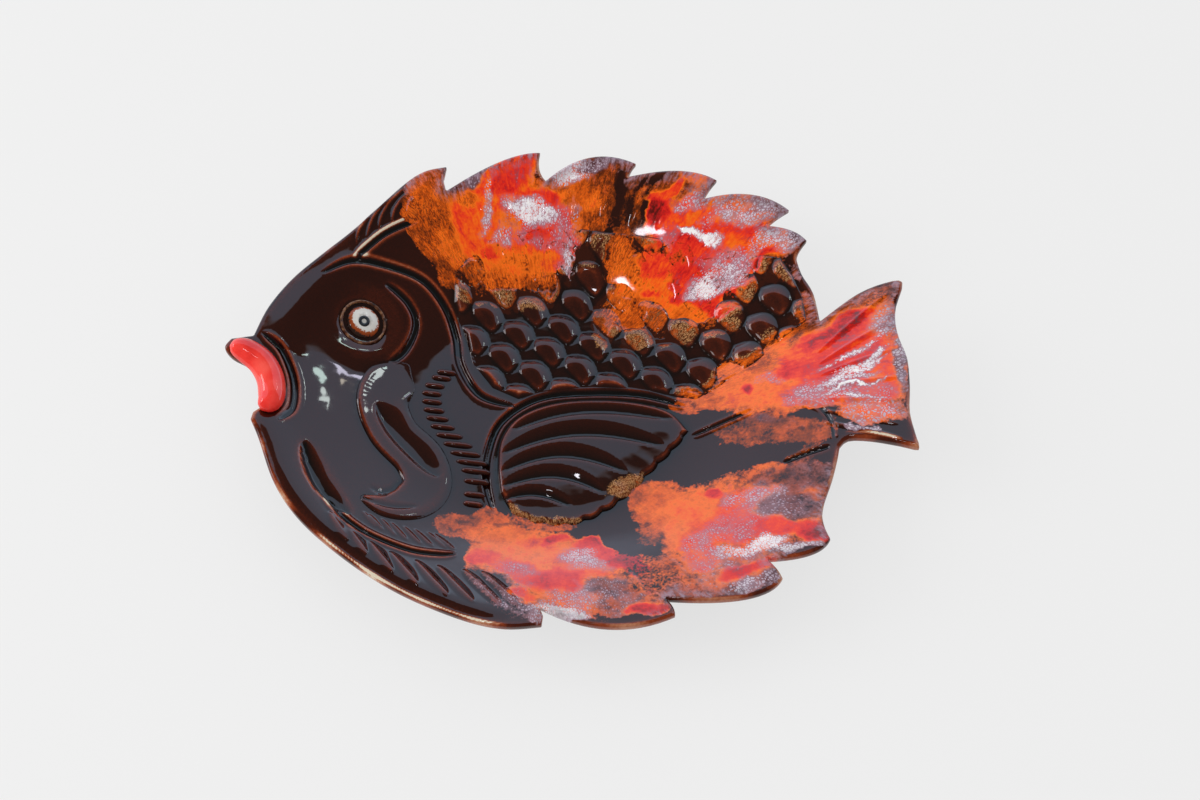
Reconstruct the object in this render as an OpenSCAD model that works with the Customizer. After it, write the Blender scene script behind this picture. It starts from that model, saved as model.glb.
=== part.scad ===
// Fish shaped serving platter in glazed earthenware.
// The mouth points to -X, the tail to +X and the back to +Y. The platter stands on its
// foot ring at z = 0, with the middle of its outline over the origin.
// Places on the dish are shares of its half length and half width, from its middle.

/* [Dish] */
// Length of the oval dish, without the tail and the lips
dish_len = 344; // [300:2:390]
// Width of the oval dish, without the points of the fins
dish_wid = 312; // [270:2:350]
// Height that the wall climbs from the flat floor to the rim
dish_rise = 34; // [24:1:42]
// Thickness of the wall, fins and tail
wall_t = 5.5; // [4:0.5:8]
// Thickness of the floor
floor_t = 6; // [4.5:0.5:9]
// Rounding of the upper edge of the rim
rim_r = 2.5; // [1:0.5:4]

/* [Foot] */
// Height of the ring that the platter stands on
foot_h = 4; // [2.5:0.5:7]
// Width of the foot ring
foot_w = 6; // [4:0.5:9]

/* [Lips] */
// Width of the rolled lips
lip_w = 13; // [10:0.5:15]
// Height of the rolled lips above the dish
lip_h = 8; // [5:0.5:11]

/* [Eye] */
// Outer diameter of the raised ring round the eye
eye_d = 28; // [24:0.5:32]
// Height of the ring round the eye
eye_ring_h = 2.4; // [1.5:0.1:3.5]
// Width of the ring round the eye
eye_ring_w = 3; // [2:0.2:4]
// Diameter of the white of the eye
white_d = 16; // [12:0.5:18]
// Height of the domed white of the eye
white_h = 2.2; // [1.4:0.1:3]
// Outer diameter of the ring shaped pupil
pupil_d = 7; // [5:0.5:9]
// Width of the ring shaped pupil
pupil_w = 2.2; // [1.4:0.1:2.4]

/* [Cheek] */
// Greatest height of the curled cheek flap
flap_h = 3.6; // [2.4:0.2:5]
// Number of gill ribs behind the cheek flap
rib_count = 16; // [8:1:20]
// Width of a gill rib
rib_w = 2.6; // [1.6:0.2:3.2]
// Height of a gill rib
rib_h = 1.6; // [1:0.1:2.4]

/* [Scales] */
// Distance between two scales along a row
scale_pitch = 22; // [18:0.5:26]
// Distance between two rows of scales
scale_row = 18; // [15:0.5:22]
// Height of a scale
scale_h = 2.6; // [1.6:0.2:3.6]
// Dark gap left between two scales
scale_gap = 1.4; // [1:0.2:2.4]

/* [Side fin] */
// Thickness of the side fin on the dish
fin_t = 2.6; // [2:0.2:3.6]
// How much higher the side fin stands along its middle
fin_crown = 1.2; // [0.6:0.2:2.4]
// Depth of the crescents sunk into the side fin
gouge_depth = 1.7; // [1:0.1:1.9]
// Depth of the scallop_count along the free edge of the side fin
scallop_depth = 1.6; // [0.8:0.2:2.4]

/* [Rays and grooves] */
// Width of the grooves drawn in the dish
groove_w = 4.2; // [3:0.2:5.6]
// Depth of the grooves drawn in the dish
groove_depth = 1.8; // [1:0.1:2.4]
// Width of a fin ray at its root
ray_w = 3.4; // [2.4:0.2:4.4]
// Height of a fin ray
ray_h = 1.1; // [0.7:0.1:1.8]

/* [Hidden] */

// Gap between a piece of relief and the dish under it
seat = 0.3;
// Overrun of every cut past the face that it opens
over = 1;

half_len = dish_len / 2;
half_wid = dish_wid / 2;
floor_top = foot_h + floor_t;
body_top = floor_top + 2 * dish_rise;

// How square the oval is: 2 would be an ellipse
oval_power = 2.2;
// Where the flat floor ends and the wall begins, from the middle out
floor_share = 0.42;
// How soon the wall flattens out towards the rim
flare_share = 1.6;
// How far out the shell is made before its outline is cut
shell_share = 1.32;

// Facets and steps of the curves
shell_sides = 84;
foot_sides = 56;
eye_sides = 28;
white_sides = 20;
pupil_sides = 18;
ring_sides = 4;
groove_sides = 5;
ray_sides = 3;
lip_sides = 8;
flap_sides = 7;
flap_seats = 3;
tile_sides = 10;
outline_steps = 2;
tooth_steps = 7;
hollow_steps = 3;
curve_steps = 3;
ray_steps = 4;
crescent_steps = 9;
scallop_steps = 4;
fin_strips = 3;
rim_angles = [80, 50, 20];

// Width left at the ends of a tapered ridge, and how blunt each kind of ridge is
tip_share = 0.15;
groove_power = 8;
lip_power = 5;
flap_power = 6;
ray_power = 3;
crescent_power = 2;

over_shares = [0.42, 0.46, 0.5, 0.55, 0.6, 0.66, 0.72, 0.79, 0.86, 0.93, 1, 1.1, 1.2];
under_shares = [0.42, 0.5, 0.6, 0.72, 0.85, 1, 1.15];

// Outline, mouth to tail along the back. A tooth is the notch that it grows from, the
// shoulder that bows its edge, its tip, and the hollow behind the tip.
head_shares = [
    [-0.98, 0.19], [-0.94, 0.32], [-0.87, 0.45], [-0.78, 0.565], [-0.67, 0.69],
    [-0.52, 0.87], [-0.44, 0.94], [-0.36, 0.965]
];
nape_hollow_shares = [-0.37, 0.91];
back_teeth_shares = [
    [[-0.36, 0.87], [-0.155, 1.035], [-0.035, 1.03], [-0.05, 0.96]],
    [[-0.015, 0.92], [0.14, 1.07], [0.3, 0.98], [0.28, 0.955]],
    [[0.275, 0.93], [0.48, 0.975], [0.58, 0.895], [0.55, 0.86]],
    [[0.535, 0.825], [0.72, 0.865], [0.825, 0.745], [0.78, 0.72]],
    [[0.75, 0.69], [0.845, 0.67], [0.88, 0.61], [0.84, 0.56]]
];
rump_shares = [[0.845, 0.53], [0.86, 0.47], [0.895, 0.385], [0.912, 0.265]];
tail_shares = [
    [0.95, 0.295], [1.04, 0.36], [1.13, 0.395], [1.19, 0.392], [1.163, 0.29], [1.157, 0.22],
    [1.165, 0.15], [1.186, 0.06], [1.187, -0.06], [1.18, -0.17], [1.195, -0.28],
    [1.2, -0.322], [1.14, -0.3], [1.05, -0.268], [0.98, -0.256], [0.95, -0.285]
];
// Outline, mouth to tail along the belly
belly_shares = [
    [-0.965, -0.165], [-0.935, -0.24], [-0.88, -0.405], [-0.815, -0.525], [-0.727, -0.632],
    [-0.58, -0.767], [-0.43, -0.875], [-0.245, -0.97], [-0.12, -1.003], [-0.006, -0.993]
];
belly_hollow_shares = [-0.002, -0.95];
belly_teeth_shares = [
    [[-0.012, -0.915], [0.2, -1.075], [0.407, -0.96], [0.41, -0.925]],
    [[0.384, -0.89], [0.69, -0.94], [0.744, -0.825], [0.735, -0.785]],
    [[0.703, -0.742], [0.87, -0.75], [0.9, -0.672], [0.88, -0.62]]
];
vent_shares = [[0.88, -0.57], [0.89, -0.515], [0.92, -0.42], [0.942, -0.33]];
// Bite of the mouth, from the lower lip to the upper
mouth_shares = [
    [-0.96, -0.135], [-0.925, -0.09], [-0.924, -0.055], [-0.942, 0], [-0.985, 0.055],
    [-1.04, 0.085], [-1.068, 0.125], [-1.05, 0.165]
];

// Lines of the relief
lip_shares = [
    [-1.058, 0.125], [-1.006, 0.11], [-0.957, 0.075], [-0.927, 0.025], [-0.914, -0.03],
    [-0.915, -0.085], [-0.94, -0.13]
];
lip_groove_shares = [
    [-0.95, 0.2], [-0.89, 0.15], [-0.85, 0.06], [-0.835, -0.02], [-0.84, -0.1], [-0.88, -0.16]
];
gill_line_shares = [
    [-0.77, 0.48], [-0.68, 0.545], [-0.57, 0.56], [-0.44, 0.53], [-0.36, 0.44], [-0.32, 0.32],
    [-0.3, 0.19], [-0.23, 0.06], [-0.11, 0.01]
];
nape_line_shares = [[-0.66, 0.55], [-0.62, 0.62], [-0.57, 0.67], [-0.45, 0.73]];
brow_line_shares = [[-0.57, 0.495], [-0.5, 0.44], [-0.46, 0.35], [-0.48, 0.24], [-0.53, 0.18]];
fin_line_shares = [
    [-0.17, -0.45], [-0.2, -0.32], [-0.195, -0.18], [-0.15, -0.05], [-0.03, 0.045],
    [0.14, 0.07], [0.32, 0.06], [0.46, 0.01]
];
belly_line_shares = [
    [-0.79, -0.23], [-0.74, -0.34], [-0.68, -0.46], [-0.56, -0.585], [-0.43, -0.65],
    [-0.29, -0.66]
];
vent_line_shares = [[0.77, -0.32], [0.83, -0.3], [0.92, -0.28]];

eye_shares = [-0.63, 0.325];
// Middle line of the cheek flap, with its width as a share of the half width
flap_shares = [
    [-0.475, 0.19, 0.06], [-0.515, 0.13, 0.19], [-0.555, 0.02, 0.19], [-0.515, -0.11, 0.19],
    [-0.425, -0.22, 0.19],
    [-0.395, -0.33, 0.18], [-0.44, -0.42, 0.17], [-0.52, -0.455, 0.13], [-0.6, -0.43, 0.07]
];
// Line behind the flap on which the gill ribs start
rib_line_shares = [
    [-0.38, 0.165], [-0.425, 0.09], [-0.42, 0], [-0.385, -0.09], [-0.325, -0.185],
    [-0.28, -0.28], [-0.275, -0.4]
];
rib_short_share = 0.045;
rib_long_share = 0.085;
rib_angle = -8;

// Scale rows run down towards the tail; this is their slope and the first scale's place
scale_angle = -34;
scale_start_shares = [-0.12, 0.32];
scale_rows = [-6 : 6];
scale_cols = [-6 : 10];
// Field that the scales fill; they shrink to this share of their size at its border
scale_field_shares = [
    [-0.35, 0.42], [-0.315, 0.24], [-0.24, 0.06], [-0.03, 0.045], [0.32, 0.06], [0.5, 0.07],
    [0.86, 0.3], [0.85, 0.4], [0.68, 0.54], [0.5, 0.64], [0.3, 0.71], [0, 0.76],
    [-0.22, 0.7], [-0.33, 0.58]
];
least_scale_share = 0.6;
// Rings of a scale: size, shift towards its tip, and height
tile_shares = [[1, 0, 0], [0.88, 0.04, 0.7], [0.4, 0.14, 1]];
tile_power = 4;
// Rings of the domed white of the eye: size and height
dome_shares = [[0.5, 0], [1, 0], [1, 0.4], [0.8, 0.8], [0.4, 1]];

// Side fin, from its root to its tip along the upper and the free edge
fin_upper_shares = [
    [-0.155, -0.36], [-0.165, -0.25], [-0.155, -0.13], [-0.09, -0.03], [0.05, 0.03],
    [0.24, 0.035], [0.4, -0.01], [0.47, -0.1]
];
fin_lower_shares = [
    [-0.13, -0.43], [-0.06, -0.475], [0.03, -0.495], [0.13, -0.48], [0.24, -0.4],
    [0.34, -0.28], [0.42, -0.18], [0.462, -0.12]
];
scallop_count = 11;
// Sunk crescents of the side fin: root, top of the bow, end, greatest width
crescent_shares = [
    [[-0.12, -0.1], [0.12, 0.005], [0.42, -0.05], 0.055],
    [[-0.15, -0.2], [0.1, -0.095], [0.385, -0.165], 0.05],
    [[-0.15, -0.275], [0.05, -0.19], [0.26, -0.275], 0.045],
    [[-0.145, -0.335], [0.03, -0.28], [0.19, -0.365], 0.04],
    [[-0.14, -0.39], [-0.03, -0.36], [0.08, -0.42], 0.032]
];

// Rays: root and end of each one
back_ray_shares = [
    [[-0.33, 0.76], [-0.27, 0.91]], [[-0.24, 0.79], [-0.17, 0.965]], [[-0.14, 0.8], [-0.08, 0.98]],
    [[-0.02, 0.79], [0.05, 0.95]], [[0.08, 0.79], [0.14, 0.97]], [[0.18, 0.78], [0.24, 0.95]],
    [[0.28, 0.74], [0.35, 0.9]], [[0.37, 0.72], [0.45, 0.91]], [[0.45, 0.69], [0.53, 0.87]],
    [[0.52, 0.63], [0.62, 0.79]], [[0.59, 0.59], [0.69, 0.78]], [[0.65, 0.53], [0.77, 0.73]]
];
tail_ray_shares = [
    [[0.9, 0.13], [1.13, 0.34]], [[0.9, 0.08], [1.13, 0.22]], [[0.9, 0.03], [1.14, 0.1]],
    [[0.9, -0.02], [1.15, -0.02]], [[0.9, -0.07], [1.14, -0.12]], [[0.9, -0.12], [1.14, -0.22]],
    [[0.9, -0.17], [1.15, -0.28]]
];
belly_ray_shares = [
    [[0.09, -0.78], [0.15, -0.97]], [[0.18, -0.77], [0.25, -0.97]], [[0.27, -0.75], [0.34, -0.94]],
    [[0.4, -0.7], [0.48, -0.87]], [[0.48, -0.66], [0.57, -0.87]], [[0.56, -0.62], [0.66, -0.84]],
    [[0.66, -0.56], [0.77, -0.71]], [[0.7, -0.48], [0.83, -0.65]]
];
nape_ray_shares = [
    [[-0.65, 0.645], [-0.6, 0.765]], [[-0.617, 0.67], [-0.562, 0.8]], [[-0.582, 0.695], [-0.525, 0.825]],
    [[-0.547, 0.715], [-0.49, 0.85]], [[-0.51, 0.735], [-0.452, 0.87]]
];
// Barbs of the belly feather, above and below its line: where they start and end
upper_barb_root_shares = [[-0.59, -0.5], [-0.48, -0.54], [-0.36, -0.565]];
upper_barb_end_shares = [[-0.54, -0.57], [-0.42, -0.62], [-0.29, -0.64]];
lower_barb_root_shares = [[-0.69, -0.53], [-0.53, -0.66], [-0.37, -0.72], [-0.2, -0.745]];
lower_barb_end_shares = [[-0.62, -0.66], [-0.44, -0.81], [-0.25, -0.9], [-0.07, -0.92]];
barb_count = 8;

// Points along lines and curves
function knot(p, i) = p[max(0, min(len(p) - 1, i))];
function blend(a, b, c, d, t) =
    (2 * b + (c - a) * t + (2 * a - 5 * b + 4 * c - d) * t * t
        + (3 * b - a - 3 * c + d) * t * t * t) / 2;
// Smooth curve through all the points of p
function curve(p, steps) = [
    for (i = [0 : len(p) - 2], k = [0 : steps - 1])
        blend(knot(p, i - 1), p[i], p[i + 1], knot(p, i + 2), k / steps),
    p[len(p) - 1]
];
// Bowed edge from a towards c, pulled to b, without its last point
function bend(a, b, c, steps) = [
    for (k = [0 : steps - 1])
        let (t = k / steps) (1 - t) * (1 - t) * a + 2 * t * (1 - t) * b + t * t * c
];
function point_at(p, t) = let (
        s = t * (len(p) - 1), i = min(floor(s), len(p) - 2)
    ) blend(knot(p, i - 1), p[i], p[i + 1], knot(p, i + 2), s - i);
function backwards(p) = [for (i = [len(p) - 1 : -1 : 0]) p[i]];
function next_notch(teeth, i, last) = i + 1 < len(teeth) ? teeth[i + 1][0] : last;
function toothed(teeth, last) = [
    for (i = [0 : len(teeth) - 1])
        let (t = teeth[i])
            each concat(
                bend(t[0], t[1], t[2], tooth_steps),
                bend(t[2], t[3], next_notch(teeth, i, last), hollow_steps)
            )
];

// Outline of the platter as shares, counter-clockwise from the lower lip
outline_shares = concat(
    curve(belly_shares, outline_steps),
    [belly_hollow_shares],
    toothed(belly_teeth_shares, vent_shares[0]),
    curve(vent_shares, outline_steps),
    backwards(tail_shares),
    backwards(curve(rump_shares, outline_steps)),
    backwards(toothed(back_teeth_shares, rump_shares[0])),
    [nape_hollow_shares],
    backwards(curve(head_shares, outline_steps)),
    backwards(mouth_shares)
);
outline_x = [for (s = outline_shares) s.x * half_len];
outline_y = [for (s = outline_shares) s.y * half_wid];
dish_x = -(max(outline_x) + min(outline_x)) / 2;
dish_y = -(max(outline_y) + min(outline_y)) / 2;

// Surface of the dish
function place(s) = [dish_x + s.x * half_len, dish_y + s.y * half_wid];
function places(shares) = [for (s = shares) place(s)];
function reach(p) = pow(
    pow(abs(p.x - dish_x) / half_len, oval_power) + pow(abs(p.y - dish_y) / half_wid, oval_power),
    1 / oval_power
);
function climb(r) = let (u = max(r - floor_share, 0) / (1 - floor_share))
    dish_rise * (1 + flare_share) * u * u / (1 + flare_share * u * u);
function climb_rate(r) = let (u = max(r - floor_share, 0) / (1 - floor_share))
    2 * dish_rise * (1 + flare_share) * u / pow(1 + flare_share * u * u, 2) / (1 - floor_share) / half_wid;
function dish_z(p) = floor_top + climb(reach(p));
function on_dish(p, lift) = [p.x, p.y, dish_z(p) + lift];
function drop(r) = r > floor_share ? wall_t * sqrt(1 + pow(climb_rate(r), 2)) : floor_t;

function oval_at(angle, share) = let (
        c = cos(angle), s = sin(angle),
        r = share / pow(pow(abs(c), oval_power) + pow(abs(s), oval_power), 1 / oval_power)
    ) [dish_x + r * c * half_len, dish_y + r * s * half_wid];
function oval(share, sides) = [for (i = [0 : sides - 1]) oval_at(360 * i / sides, share)];

// Closed skin over a row of rings with the same number of points
module loft(rings) {
    n = len(rings[0]);
    m = len(rings);
    polyhedron(
        points = [for (r = rings) each r],
        faces = concat(
            [[for (i = [0 : n - 1]) i]],
            [[for (i = [n - 1 : -1 : 0]) (m - 1) * n + i]],
            [
                for (j = [0 : m - 2], i = [0 : n - 1])
                    let (a = j * n + i, b = j * n + (i + 1) % n)
                        each [[a, a + n, b + n], [a, b + n, b]]
            ]
        )
    );
}

// Section of a ridge, or of a gouge where the height is below zero
function section(p, along, w, h, base, steps, seats) = let (
        side = [-along.y, along.x] / norm(along) * w / 2 * sign(h)
    ) concat(
        [
            for (k = [0 : steps])
                let (a = 180 * k / steps) on_dish(p + side * cos(a), base + h * sin(a))
        ],
        [for (k = [1 : 1 : seats]) on_dish(p - side * (1 - 2 * k / (seats + 1)), base)]
    );
function heading(p, i) = knot(p, i + 1) - knot(p, i - 1);
// How full a ridge is along its length, from 0 to 1
function fullness(t, blunt) = max(tip_share, sqrt(1 - pow(abs(2 * t - 1), blunt)));

// Ridge on the dish along a list of points, tapered at both ends
module ridge(p, w, h, base, blunt, steps) {
    last = len(p) - 1;
    loft([
        for (i = [0 : last])
            let (f = fullness(i / last, blunt))
                section(p[i], heading(p, i), w * f, h * f, base, steps, 0)
    ]);
}

// Groove of even width in the dish along a list of points
module groove(shares) {
    p = places(curve(shares, curve_steps));
    last = len(p) - 1;
    cut = over + groove_depth;
    loft([
        for (i = [0 : last])
            let (f = fullness(i / last, groove_power))
                section(p[i], heading(p, i), groove_w * f, -cut * f, over, groove_sides, 0)
    ]);
}

// Points of a circle that looks round on the slope of the dish
function circle_on(middle, r, sides) = let (tilt = cos(atan(climb_rate(reach(middle))))) [
    for (i = [0 : sides - 1])
        middle + r * [cos(360 * i / sides), tilt * sin(360 * i / sides)]
];

// Ring on the dish, round a middle point
module dish_ring(middle, d, w, h, base, sides) {
    p = circle_on(middle, (d - w) / 2, sides);
    n = ring_sides + 1;
    rings = [
        for (i = [0 : sides - 1])
            let (along = p[(i + 1) % sides] - p[(i + sides - 1) % sides])
                section(p[i], along, w, h, base, ring_sides, 0)
    ];
    polyhedron(
        points = [for (r = rings) each r],
        faces = [
            for (j = [0 : sides - 1], i = [0 : n - 1])
                let (
                    a = j * n + i, b = j * n + (i + 1) % n,
                    d = (j + 1) % sides * n + i, c = (j + 1) % sides * n + (i + 1) % n
                )
                    each [[a, d, c], [a, c, b]]
        ]
    );
}

// Domed button on the dish
module dish_button(middle, d, h, base, sides) {
    loft([
        for (s = dome_shares)
            [for (p = circle_on(middle, s[0] * d / 2, sides)) on_dish(p, base + s[1] * h)]
    ]);
}

module shell() {
    loft(concat(
        [
            for (r = concat(under_shares, [shell_share]))
                [for (p = oval(r, shell_sides)) on_dish(p, -drop(r))]
        ],
        [
            for (r = backwards(concat(over_shares, [shell_share])))
                [for (p = oval(r, shell_sides)) on_dish(p, 0)]
        ]
    ));
}

// Cut that rounds the rim along an edge of the outline, with the dish on its left. It fades
// out at both ends.
module rim_cut(shares) {
    p = places(curve(shares, outline_steps));
    loft([
        for (i = [0 : len(p) - 1])
            let (
                along = heading(p, i), out = [along.y, -along.x] / norm(along),
                r = rim_r * fullness(i / (len(p) - 1), groove_power)
            )
                concat(
                    [on_dish(p[i] + over * out, over), on_dish(p[i] + over * out, -r)],
                    [
                        for (a = rim_angles)
                            on_dish(p[i] - r * (1 - sin(a)) * out, -r * (1 - cos(a)))
                    ],
                    [on_dish(p[i] - r * out, over)]
                )
    ]);
}

module platter_body() {
    color("#3a1a12")
        difference() {
            intersection() {
                shell();
                linear_extrude(body_top) polygon(places(outline_shares));
            }
            groove(lip_groove_shares);
            groove(gill_line_shares);
            groove(nape_line_shares);
            groove(brow_line_shares);
            groove(fin_line_shares);
            groove(belly_line_shares);
            groove(vent_line_shares);
            rim_cut(belly_shares);
            rim_cut(backwards(head_shares));
        }
}

module foot_ring() {
    inner = 1 - foot_w / (floor_share * half_wid);
    color("#8a5a3c")
        linear_extrude(foot_h)
            difference() {
                polygon(oval(floor_share, foot_sides));
                polygon(oval(floor_share * inner, foot_sides));
            }
}

module lip_roll() {
    color("#c8281c") 
        ridge(places(curve(lip_shares, curve_steps)), lip_w, lip_h, seat, lip_power, lip_sides);
}

module eye_ring() {
    color("#a0623a")
        dish_ring(place(eye_shares), eye_d, eye_ring_w, eye_ring_h, seat, eye_sides);
}

module eye_white() {
    color("#e8e2da") dish_button(place(eye_shares), white_d, white_h, seat, white_sides);
}

module eye_pupil() {
    base = seat + white_h + seat;
    color("#20242a")
        dish_ring(place(eye_shares), pupil_d, pupil_w, pupil_w / 2, base, pupil_sides);
}

module cheek_flap() {
    p = curve(flap_shares, curve_steps);
    last = len(p) - 1;
    color("#3a1a12")
        loft([
            for (i = [0 : last])
                let (
                    f = fullness(i / last, flap_power),
                    along = place(knot(p, i + 1)) - place(knot(p, i - 1))
                )
                    section(
                        place(p[i]), along, p[i].z * half_wid, flap_h * f, seat, flap_sides, flap_seats
                    )
        ]);
}

function straight(a, b) = [for (k = [0 : ray_steps]) a + (b - a) * k / ray_steps];

module gill_ribs() {
    color("#4a2418")
        for (i = [0 : rib_count - 1])
            let (
                t = i / (rib_count - 1),
                root = place(point_at(rib_line_shares, t)),
                long = rib_short_share + (rib_long_share - rib_short_share) * pow(sin(180 * t * t), 2),
                end = root + long * half_len * [cos(rib_angle), sin(rib_angle)]
            )
                ridge(straight(root, end), rib_w, rib_h, seat, ray_power, ray_sides);
}

function turned(v, a) = [v.x * cos(a) - v.y * sin(a), v.x * sin(a) + v.y * cos(a)];
function crossed(a, b) = a.x * b.y - a.y * b.x;
// How far inside the border of a convex field a point lies
function depth_in(p, corners) = min([
    for (i = [0 : len(corners) - 1])
        let (a = corners[i], b = corners[(i + 1) % len(corners)])
            crossed(b - a, p - a) / norm(b - a)
]);

// One scale: a domed diamond whose rounded tip points down and back
module scale_tile(middle, size) {
    along = turned([scale_pitch - scale_gap, 0], scale_angle) / 2 * size;
    across = turned([0, scale_gap - scale_row], scale_angle) / 2 * size;
    loft([
        for (t = tile_shares)
            [
                for (i = [0 : tile_sides - 1])
                    let (
                        c = cos(360 * i / tile_sides), s = sin(360 * i / tile_sides),
                        r = t[0] / pow(pow(abs(c), tile_power) + pow(abs(s), tile_power), 1 / tile_power)
                    )
                        on_dish(
                            middle + (r * s + t[1]) * along + (r * c + t[1]) * across,
                            seat + t[2] * scale_h
                        )
            ]
    ]);
}

module scales() {
    field = places(scale_field_shares);
    start = place(scale_start_shares);
    color("#4a2014")
        for (row = scale_rows, col = scale_cols)
            let (
                p = start + turned([col * scale_pitch, -row * scale_row], scale_angle),
                size = min(1, 2 * depth_in(p, field) / scale_row)
            )
                if (size > least_scale_share)
                    scale_tile(p, size);
}

// Sunk crescent of the side fin
module crescent(c) {
    bow = 2 * c[1] - (c[0] + c[2]) / 2;
    p = places(concat(bend(c[0], bow, c[2], crescent_steps), [c[2]]));
    cut = over + fin_crown + gouge_depth;
    top = seat + fin_t + fin_crown + over;
    loft([
        for (i = [0 : crescent_steps])
            let (f = fullness(i / crescent_steps, crescent_power))
                section(
                    p[i], heading(p, i), c[3] * half_wid * f, -cut * f, top, groove_sides, 0
                )
    ]);
}

module side_fin() {
    stations = scallop_steps * scallop_count;
    strips = fin_strips;
    color("#43201a")
        difference() {
            loft([
                for (i = [0 : stations])
                    let (
                        t = i / stations,
                        a = place(point_at(fin_upper_shares, t)),
                        b = place(point_at(fin_lower_shares, t)),
                        bite = scallop_depth * (1 - abs(sin(180 * t * scallop_count))),
                        c = b + (a - b) / norm(a - b) * bite
                    )
                        concat(
                            [for (k = [0 : strips]) on_dish(c + (a - c) * k / strips, seat)],
                            [
                                for (k = [strips : -1 : 0])
                                    let (crown = fin_crown * sin(180 * k / strips))
                                        on_dish(c + (a - c) * k / strips, seat + fin_t + crown)
                            ]
                        )
            ]);
            for (c = crescent_shares)
                crescent(c);
        }
}

module rays(list) {
    for (r = list)
        let (a = place(r[0]), b = place(r[1]))
            ridge(straight(a, b), ray_w, ray_h, seat, ray_power, ray_sides);
}

module back_fin_rays() {
    color("#b8461c") rays(back_ray_shares);
}

module tail_rays() {
    color("#c0403a") rays(tail_ray_shares);
}

module belly_fin_rays() {
    color("#b0506a") rays(belly_ray_shares);
}

module nape_rays() {
    color("#5a2a18") rays(nape_ray_shares);
}

module belly_barbs() {
    color("#4a2018")
        for (lines = [
            [upper_barb_root_shares, upper_barb_end_shares], [lower_barb_root_shares, lower_barb_end_shares]
        ])
            rays([
                for (i = [0 : barb_count - 1])
                    let (t = i / (barb_count - 1)) [point_at(lines[0], t), point_at(lines[1], t)]
            ]);
}

platter_body();
foot_ring();
lip_roll();
eye_ring();
eye_white();
eye_pupil();
cheek_flap();
gill_ribs();
scales();
side_fin();
back_fin_rays();
tail_rays();
belly_fin_rays();
belly_barbs();
nape_rays();
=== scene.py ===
# A serving platter cast in the form of a fat fish: a shallow oval dish with toothed fins,
# low relief and glazes that run into each other. Lengths are in millimetres until they
# reach a mesh; places on the dish are shares of its half length and half width.
import math
from functools import partial
import bmesh
import bpy
import numpy as np
from mathutils import Matrix, Vector, geometry


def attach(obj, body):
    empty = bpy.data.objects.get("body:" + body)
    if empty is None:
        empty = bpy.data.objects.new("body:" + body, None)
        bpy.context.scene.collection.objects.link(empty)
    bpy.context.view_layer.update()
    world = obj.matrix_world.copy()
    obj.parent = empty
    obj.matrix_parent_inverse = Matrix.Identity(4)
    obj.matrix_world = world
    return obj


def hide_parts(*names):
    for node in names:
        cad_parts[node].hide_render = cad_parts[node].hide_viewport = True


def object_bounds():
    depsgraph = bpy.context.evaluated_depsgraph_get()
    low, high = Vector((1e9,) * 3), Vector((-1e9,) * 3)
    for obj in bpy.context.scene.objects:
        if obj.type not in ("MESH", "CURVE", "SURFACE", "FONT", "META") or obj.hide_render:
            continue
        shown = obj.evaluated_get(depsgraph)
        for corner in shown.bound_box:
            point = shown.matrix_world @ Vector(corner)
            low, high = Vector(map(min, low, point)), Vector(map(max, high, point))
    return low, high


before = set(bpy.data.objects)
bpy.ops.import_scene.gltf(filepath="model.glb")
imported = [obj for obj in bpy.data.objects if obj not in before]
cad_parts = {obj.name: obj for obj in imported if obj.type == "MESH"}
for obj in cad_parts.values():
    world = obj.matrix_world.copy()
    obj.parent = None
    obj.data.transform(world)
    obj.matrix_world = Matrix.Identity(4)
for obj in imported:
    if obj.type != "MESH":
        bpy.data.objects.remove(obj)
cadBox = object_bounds()
mm = 0.001
print("frame loaded")


# The dish and lines on it.

dish = dict(
    length=344, width=312, rise=34,       # oval without tail and lips, and climb of the wall
    wall=5.5, floor=6, foot=4,            # thicknesses, and height of the foot
    power=2.2, flatShare=0.42, flare=1.6, # squareness, flat floor, flattening at the rim
    centre=(-11.352, -1.711),             # middle of the oval
    edge=2.2,                             # rounding of the rim
)
halfSize = np.array([dish["length"] / 2, dish["width"] / 2])
centre = np.array(dish["centre"])
floorTop = dish["foot"] + dish["floor"]


def place(shares):
    return centre + np.asarray(shares, float)[..., :2] * halfSize


def reach(points):
    p = np.abs((points - centre) / halfSize) ** dish["power"]
    return (p[..., 0] + p[..., 1]) ** (1 / dish["power"])


def climb(points):
    u = np.maximum(reach(points) - dish["flatShare"], 0) / (1 - dish["flatShare"])
    return dish["rise"] * (1 + dish["flare"]) * u * u / (1 + dish["flare"] * u * u)


def dishTop(points):
    return floorTop + climb(points)


def slopeAt(points):
    step = 0.5
    east = dishTop(points + [step, 0]) - dishTop(points - [step, 0])
    north = dishTop(points + [0, step]) - dishTop(points - [0, step])
    return np.stack([east, north], -1) / (2 * step)


def smoothLine(points, steps):
    # smooth curve through all the points, like a bent spline
    p = np.asarray(points, float)
    last = len(p) - 1
    out = []
    for i in range(last):
        a, b, c, d = p[max(i - 1, 0)], p[i], p[i + 1], p[min(i + 2, last)]
        for k in range(steps):
            t = k / steps
            out.append((2 * b + (c - a) * t + (2 * a - 5 * b + 4 * c - d) * t * t
                        + (3 * b - a - 3 * c + d) * t ** 3) / 2)
    out.append(p[-1])
    return np.array(out)


def bend(a, b, c, steps):
    a, b, c = (np.asarray(v, float) for v in (a, b, c))
    return [(1 - t) ** 2 * a + 2 * t * (1 - t) * b + t * t * c
            for t in (k / steps for k in range(steps))]


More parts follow.
